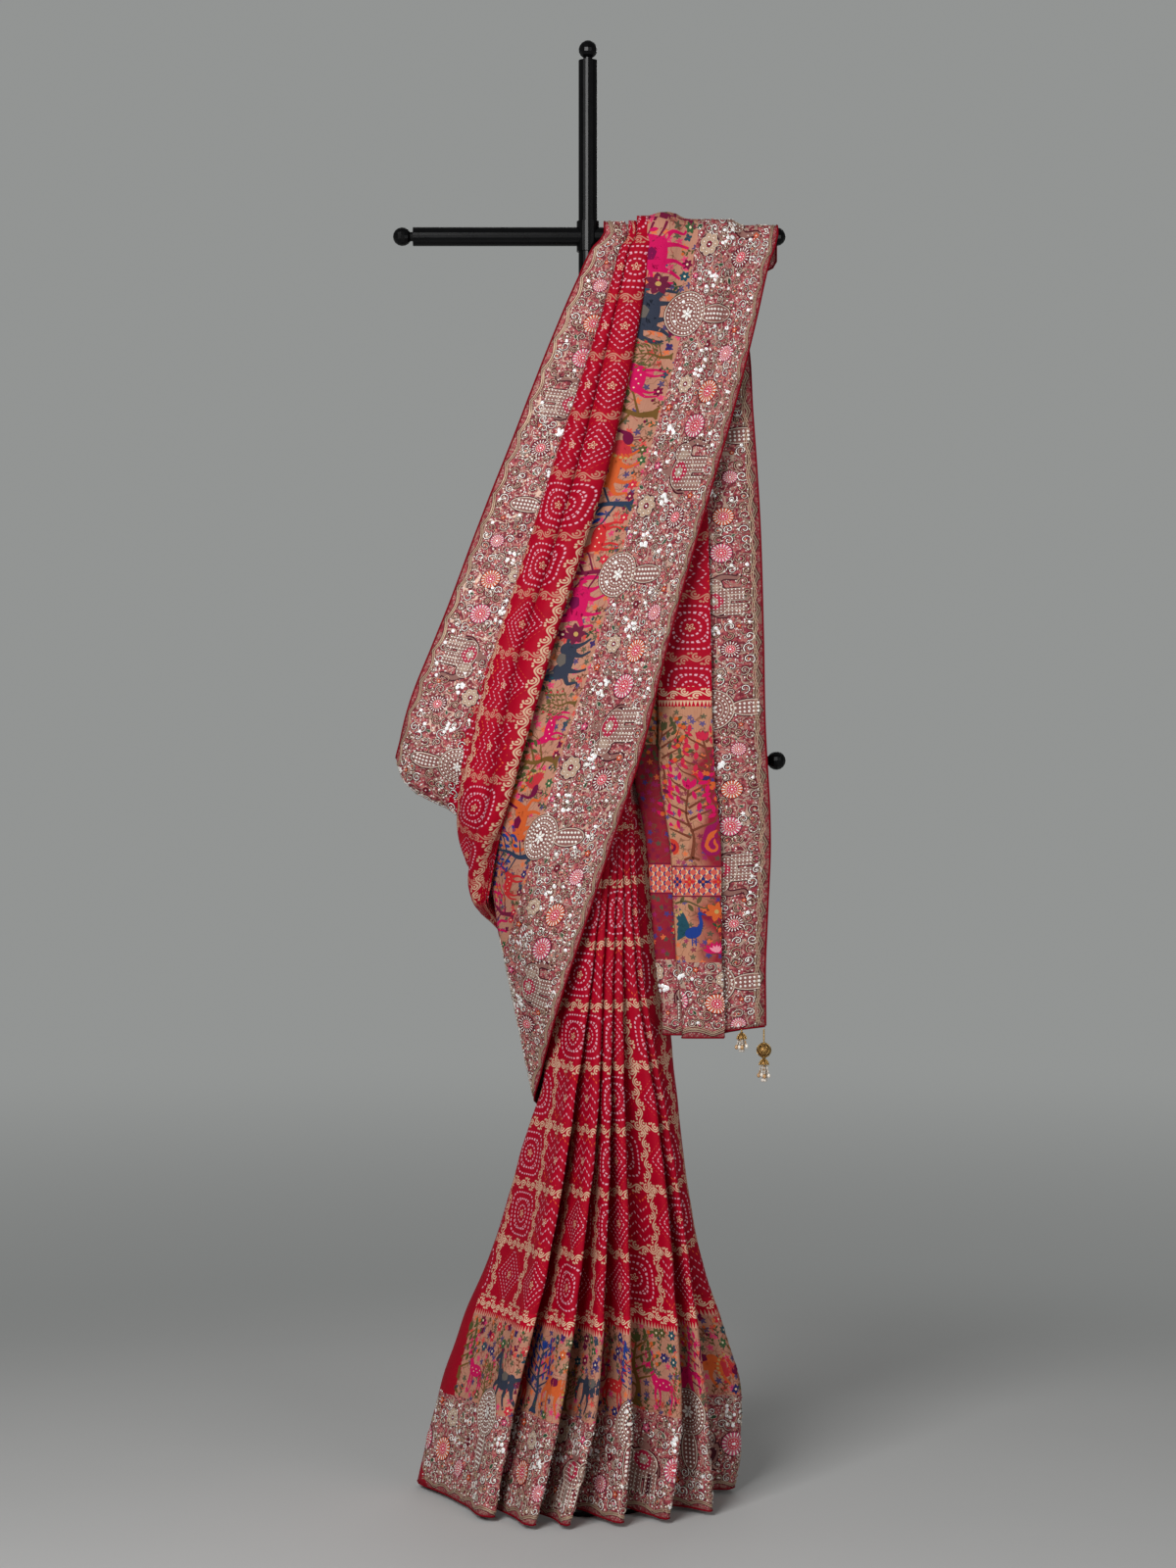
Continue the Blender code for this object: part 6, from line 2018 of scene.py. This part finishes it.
# ---- the skirt, its left front panel first
SK_PHASE = U_F1 - 0.060
for pl, front in skirt_places:
    lo = max(pl.s0, U_PLAIN - 0.004)
    if lo < pl.s1:
        brocade_row(0, Place(pl.patch, pl.to_uv, lo, pl.s1, pl.w0, pl.w1), lo, pl.s1, SK_PHASE)
    worked_border(0, pl, max(pl.s0, U_LEFT + 0.02), pl.s1, 0.130, SK_PHASE, 1.0 if front else 0.7)
worked_border(0, back_low, float(GU[b0, 0]), float(GU[b1, 0]), 0.130, SK_PHASE, 0.7)
brocade_row(0, back_low, float(GU[b0, 0]), float(GU[b1, 0]), SK_PHASE)
# ---- the front swath, both its borders
sw0 = float(GU[r0, 0])
brocade_row(1, swath_low, sw0, U_ARM + 0.02, 0.14)
worked_border(1, swath_low, sw0, U_ARM + 0.02, 0.130, 0.17)
worked_border(1, swath_up, float(GU[r0, -1]), U_ARM + 0.05, 0.094, 0.258)
# ---- the hanging end
worked_border(2, end_side, 0.004, 0.99, 0.084, 0.060, disc_at=(0.0575, 0.0255))
worked_border(2, end_foot_b, 0.90, 0.986, 0.097, 0.359, 1.0, 0.0075, 0.0012)
worked_border(2, end_foot_a, 1.008, 1.035, 0.097, 0.115, 1.0, 0.0075, 0.0012)
worked_border(2, end_foot_c, 0.84, 0.90, 0.097, 0.359, 0.8, 0.0075, 0.0012)
worked_border(2, rear, 0.004, 0.99, 0.097, 0.060, 0.6)

# the hanging end's panels: flowering trees above, birds and lotus below
for pl, c0, c1 in ((end_foot_b, 0.905, 0.985), (end_foot_c, 0.845, 0.895)):
    mid = (c0 + c1) / 2
    for x, y, z, sd, lf in ((mid + 0.002, 0.232, 0.118, 21, PINK), (c1 - 0.014, 0.300, 0.112, 4, lin(204, 40, 70)), (c0 + 0.012, 0.318, 0.106, 13, lin(84, 82, 52))):
        put_motif(motifs[2], pl, tree(lin(120, 62, 44), lf, ORANGE, sd, 0.45), x, y, z, 1 if sd % 2 else -1)
    for x, y, c in ((c0 + 0.014, 0.236, 0), (c1 - 0.013, 0.236, 1)):
        put_motif(motifs[2], pl, paisley((lin(204, 60, 44), lin(150, 20, 84))[c], (MAROON, ORANGE)[c]), x, y, 0.050, 1 - 2 * c)
    put_motif(motifs[2], pl, bird(ORANGE, MAROON, REDD), c0 + 0.016, 0.300, 0.036, 1)
    put_motif(motifs[2], pl, bird(REDD, INDIGO, ORANGE), c1 - 0.016, 0.318, 0.034, -1)
    put_motif(motifs[2], pl, peacock(BLUE, TEAL, GOLD), mid + 0.001, 0.112, 0.062)
    put_motif(motifs[2], pl, lotus(PINK, lin(240, 150, 170), LEAF), c1 - 0.010, 0.104, 0.028)
    put_motif(motifs[2], pl, flower(ORANGE, GOLD, 6, LEAF), c1 - 0.010, 0.138, 0.040)
    put_motif(motifs[2], pl, flower(REDD, GOLD, 6, LEAF), c0 + 0.006, 0.110, 0.044)
    put_motif(motifs[2], pl, [(lin(96, 84, 52), [limb([(-0.5, 0), (-0.1, 0.1), (0.3, -0.05), (0.6, 0.12)], (0.05, 0.04, 0.03, 0.02))] + [leaf(-0.4 + 0.18 * z, 0.04, 0.2, 0.09, 1.1 if z % 2 else -1.0) for z in range(5)])], mid, 0.172, 0.060)
    for z in range(5):
        put_motif(motifs[2], pl, [(INDIGO if z % 2 else REDD, [leaf(0, 0, 0.55, 0.34, math.pi / 2 * t) for t in range(4)]), (ORANGE, [blob(0, 0, 0.14, 0.14)])], c0 + 0.006 + z * 0.0165, 0.2035, 0.0125)
decorations = [w.build() for w in motifs + zari + petals + beads]


# ---------------------------------------------------------------- tassels
def turned_into(work, c, profile, color, sides=14):
    """A turned shape about an upright axis through c: (radius, height) rows."""
    V, F = [], []
    for r, z in profile:
        for k in range(sides):
            a = 2 * math.pi * k / sides
            V.append((c[0] + r * math.cos(a), c[1] + r * math.sin(a), c[2] + z))
    for i in range(len(profile) - 1):
        for k in range(sides):
            a0, b0 = i * sides + k, i * sides + (k + 1) % sides
            F += [(a0, b0, b0 + sides), (a0, b0 + sides, a0 + sides)]
    work.add(V, F, np.tile(color, (len(V), 1)))


def ball_into(work, c, r, color, sides=10, rings=6, squash=1.0):
    rows = [(max(r * math.sin(math.pi * i / rings), 1e-5), r * squash * math.cos(math.pi * i / rings)) for i in range(rings + 1)]
    turned_into(work, c, rows, color, sides)


def rod_into(work, P, r, color, sides=6):
    P = np.asarray(P, float)
    T = np.gradient(P, axis=0)
    T /= np.maximum(np.linalg.norm(T, axis=1, keepdims=True), 1e-9)
    X = np.cross(T, (0.0, 1.0, 0.03))
    X /= np.maximum(np.linalg.norm(X, axis=1, keepdims=True), 1e-9)
    Y = np.cross(T, X)
    V = np.stack([P + r * (X * math.cos(2 * math.pi * k / sides) + Y * math.sin(2 * math.pi * k / sides)) for k in range(sides)], 1).reshape(-1, 3)
    F = []
    for i in range(len(P) - 1):
        for k in range(sides):
            a0, b0 = i * sides + k, i * sides + (k + 1) % sides
            F += [(a0, b0, b0 + sides), (a0, b0 + sides, a0 + sides)]
    work.add(V, F, np.tile(color, (len(V), 1)))


GILT, GILT_D = lin(214, 176, 108), lin(140, 104, 60)
CLEAR, PEARL, TOPAZ = lin(236, 226, 214), lin(246, 236, 222), lin(206, 160, 110)


def pendant(name, node, with_ball):
    lo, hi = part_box(node)
    cx, cy, top, foot = 0.5 * (lo[0] + hi[0]), 0.5 * (lo[1] + hi[1]), hi[2], lo[2]
    metal = Work(name + "_gilt", M_GILT, "tassel")
    glass = Work(name + "_beads", M_BEAD, "tassel")
    cap_top = top - (0.0375 if with_ball else 0.0030)
    # two-ply twisted cord from where it is sewn on
    n = 22
    end = top - (0.0180 if with_ball else 0.0050)
    for ply in (0.0, math.pi):
        t = np.linspace(0, 1, n)
        P = np.stack([cx + 0.0006 * np.cos(t * 22 + ply), cy + 0.0006 * np.sin(t * 22 + ply), top + (end - top) * t], 1)
        rod_into(metal, P, 0.0006, GILT)
    if with_ball:
        c = (cx, cy, top - 0.0275)
        ball_into(metal, c, 0.0091, GILT_D, 20, 12)
        # filigree: scrolled wires and grains over the ball
        for k in range(8):
            a0 = 2 * math.pi * k / 8
            for way in (1, -1):
                t = np.linspace(0.10, 0.90, 16)
                a = a0 + way * 0.95 * np.sin(t * math.pi * 2) * 0.42
                P = np.stack([c[0] + 0.0095 * np.sin(t * math.pi) * np.cos(a), c[1] + 0.0095 * np.sin(t * math.pi) * np.sin(a), c[2] + 0.0095 * np.cos(t * math.pi)], 1)
                rod_into(metal, P, 0.00042, GILT, 5)
        for row in range(1, 8):
            th = math.pi * row / 8
            m = max(4, int(22 * math.sin(th)))
            for k in range(m):
                a = 2 * math.pi * (k + 0.5 * (row % 2)) / m
                ball_into(metal, (c[0] + 0.0096 * math.sin(th) * math.cos(a), c[1] + 0.0096 * math.sin(th) * math.sin(a), c[2] + 0.0096 * math.cos(th)), 0.00062, GILT, 5, 4)
        for z in (0.0092, -0.0092):
            turned_into(metal, (cx, cy, c[2] + z), ((0.0022, 0.0010), (0.0036, 0.0004), (0.0036, -0.0004), (0.0022, -0.0010)), GILT)
    # ribbed bell cap
    h = 0.0085
    turned_into(metal, (cx, cy, cap_top), ((0.0001, 0.0), (0.0016, -0.0003), (0.0022, -0.0016), (0.0034, -0.0028), (0.0050, -0.0046), (0.0060, -0.0068), (0.0064, -h), (0.0056, -h - 0.0003), (0.0040, -0.0058)), GILT_D, 18)
    for k in range(12):
        a = 2 * math.pi * k / 12
        P = [(cx + r * math.cos(a), cy + r * math.sin(a), cap_top + z) for r, z in ((0.0024, -0.0016), (0.0036, -0.0028), (0.0052, -0.0046), (0.0062, -0.0068), (0.0066, -h))]
        rod_into(metal, P, 0.0004, GILT, 5)
        ball_into(metal, (cx + 0.0064 * math.cos(a), cy + 0.0064 * math.sin(a), cap_top - h - 0.0003), 0.0007, GILT, 6, 4)
    # strings of beads that end in pearls and clear drops
    rnd = random.Random(len(name))
    z0 = cap_top - 0.0070
    for k in range(11):
        a = 2 * math.pi * k / 11 + 0.2
        out = 0.0020 if k % 3 == 0 else 0.0068
        length = (z0 - foot) * (1.0 if k % 3 == 0 else rnd.uniform(0.66, 0.90)) - 0.0030
        t = np.linspace(0, 1, 7)
        P = np.stack([cx + out * np.cos(a) * (0.35 + 0.65 * t ** 0.7), cy + out * np.sin(a) * (0.35 + 0.65 * t ** 0.7), z0 - length * t], 1)
        rod_into(metal, P, 0.00028, GILT_D, 5)
        q = 0.25
        while q < 0.80:
            c = [float(np.interp(q, t, P[:, i])) for i in range(3)]
            r = rnd.uniform(0.0009, 0.0013)
            ball_into(glass, c, r, rnd.choice((CLEAR, PEARL, TOPAZ)), 8, 5)
            q += 2.1 * r / length
        ball_into(glass, P[-1] + np.array([0, 0, 0.0006]), 0.0024, (CLEAR, PEARL, TOPAZ)[k % 3], 10, 7, 1.25)
    made = [w.build() for w in (metal, glass)]
    for w in made:
        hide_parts(node)
    return made


trims = pendant("pendant_corner", "tassel_corner", True) + pendant("pendant_inner", "tassel_inner", False)
decorations = [d for d in decorations if d]

# ------------------------------------------------------------ the whole thing
cloth.data.materials.append(M_SILK)
mod = cloth.modifiers.new("thickness", "SOLIDIFY")
mod.thickness = SILK
mod.offset = 0.0
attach(cloth, "root")
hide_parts("saree")


def piping(name, line, inward, node):
    """A fine round welt sewn along an edge of the cloth."""
    P = np.array(line)
    T = np.gradient(P, axis=0)
    T /= np.maximum(np.linalg.norm(T, axis=1, keepdims=True), 1e-9)
    I = np.array(inward)
    I = I - (I * T).sum(1, keepdims=True) * T
    I /= np.maximum(np.linalg.norm(I, axis=1, keepdims=True), 1e-9)
    B = np.cross(T, I)
    sides, r = 8, 0.0011
    rings = []
    for k in range(sides):
        a = 2 * math.pi * k / sides
        rings.append(P - I * 0.0006 + (I * math.cos(a) * r * 1.15 + B * math.sin(a) * r))
    V = np.stack(rings, axis=1)
    n = len(P)
    faces = []
    for i in range(n - 1):
        for k in range(sides):
            k2 = (k + 1) % sides
            faces.append((i * sides + k, i * sides + k2, (i + 1) * sides + k2, (i + 1) * sides + k))
    faces.append(tuple(range(sides))[::-1])
    faces.append(tuple((n - 1) * sides + k for k in range(sides)))
    me = bpy.data.meshes.new(name)
    me.from_pydata(V.reshape(-1, 3).tolist(), [], faces)
    me.materials.append(M_PIPING)
    me.shade_smooth()
    ob = bpy.data.objects.new(name, me)
    bpy.context.scene.collection.objects.link(ob)
    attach(ob, "root")
    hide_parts(node)
    return ob


welts = [piping("welt_lower", GRID[:, 0], GRID[:, 1] - GRID[:, 0], "piping_lower")]
welts.append(piping("welt_upper", GRID[:, -1], GRID[:, -2] - GRID[:, -1], "piping_upper"))
welts.append(piping("welt_end", GRID[-1], GRID[-2] - GRID[-1], "piping_end"))

for name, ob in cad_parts.items():
    if name.startswith(("post", "upper_", "lower_", "base_")):
        ob.data.materials.clear()
        ob.data.materials.append(M_BLACK)

# ---------------------------------------------------------- floor and light
bpy.ops.mesh.primitive_plane_add(size=60, location=(0, 0, 0))
floor = bpy.context.object
floor.name = "floor"
STUDIO = (0.291, 0.299, 0.294)
m, b = new_mat("pale_floor")
put(b, Base_Color=mix(lin(199, 199, 198), lin(193, 193, 192), noise(place_vec(), 1.6, 3)), Roughness=0.8)
# far off, the floor fades into the studio's own grey
fx, fy, _ = split(place_vec())
gone = N.tree.nodes.new("ShaderNodeMapRange")
gone.interpolation_type = "SMOOTHERSTEP"
N.tree.links.new(root(fx * fx + fy * fy).s, gone.inputs["Value"])
gone.inputs["From Min"].default_value, gone.inputs["From Max"].default_value = 0.7, 2.3
far_off = N.tree.nodes.new("ShaderNodeEmission")
far_off.inputs[0].default_value = (*STUDIO, 1)
paler = N.tree.nodes.new("ShaderNodeMapRange")
paler.interpolation_type = "SMOOTHSTEP"
N.tree.links.new(root(fx * fx + fy * fy).s, paler.inputs["Value"])
paler.inputs["From Min"].default_value, paler.inputs["From Max"].default_value = 1.2, 6.5
paler.inputs["To Min"].default_value, paler.inputs["To Max"].default_value = 0.68, 1.0
N.tree.links.new(paler.outputs[0], far_off.inputs[1])
both = N.tree.nodes.new("ShaderNodeMixShader")
N.tree.links.new(gone.outputs[0], both.inputs[0])
N.tree.links.new(b.outputs[0], both.inputs[1])
N.tree.links.new(far_off.outputs[0], both.inputs[2])
N.tree.links.new(both.outputs[0], N.tree.nodes["Material Output"].inputs[0])
floor.data.materials.append(m)
bpy.context.scene.view_settings.view_transform = "Standard"
world = bpy.data.worlds.new("studio")
bpy.context.scene.world = world
world.use_nodes = True
backdrop = world.node_tree.nodes["Background"]
backdrop.inputs[0].default_value = (*STUDIO, 1)
backdrop.inputs[1].default_value = 1.0
# the room's own light is softer than its wall looks
room = world.node_tree.nodes.new("ShaderNodeBackground")
room.inputs[0].default_value = (*STUDIO, 1)
room.inputs[1].default_value = 0.42
seen = world.node_tree.nodes.new("ShaderNodeLightPath")
either = world.node_tree.nodes.new("ShaderNodeMixShader")
world.node_tree.links.new(seen.outputs["Is Camera Ray"], either.inputs[0])
world.node_tree.links.new(room.outputs[0], either.inputs[1])
world.node_tree.links.new(backdrop.outputs[0], either.inputs[2])
world.node_tree.links.new(either.outputs[0], world.node_tree.nodes["World Output"].inputs[0])


def area(name, loc, target, size, power, color=(1, 1, 1)):
    li = bpy.data.lights.new(name, "AREA")
    li.shape, li.size, li.energy, li.color = "RECTANGLE", size[0], power, color
    li.size_y = size[1]
    ob = bpy.data.objects.new(name, li)
    ob.location = loc
    ob.rotation_euler = (Vector(target) - Vector(loc)).to_track_quat("-Z", "Y").to_euler()
    bpy.context.scene.collection.objects.link(ob)


area("key", (-1.3, -3.1, 2.3), (0, 0, 0.7), (1.6, 1.6), 114)
area("fill", (2.2, -3.2, 1.3), (0, 0, 0.7), (1.6, 1.6), 26)
area("back", (0.6, 3.0, 2.8), (0, 0, 1.0), (2.0, 1.2), 12)

cam = bpy.data.cameras.new("camera")
cam.lens = 3077 / 1600 * 36
cam.sensor_width = 36
cam.sensor_fit = "AUTO"
camera = bpy.data.objects.new("camera", cam)
camera.location = (0, -4.0, 0.949)
camera.rotation_euler = (math.pi / 2, 0, 0)
bpy.context.scene.collection.objects.link(camera)
bpy.context.scene.camera = camera

bpy.context.view_layer.update()
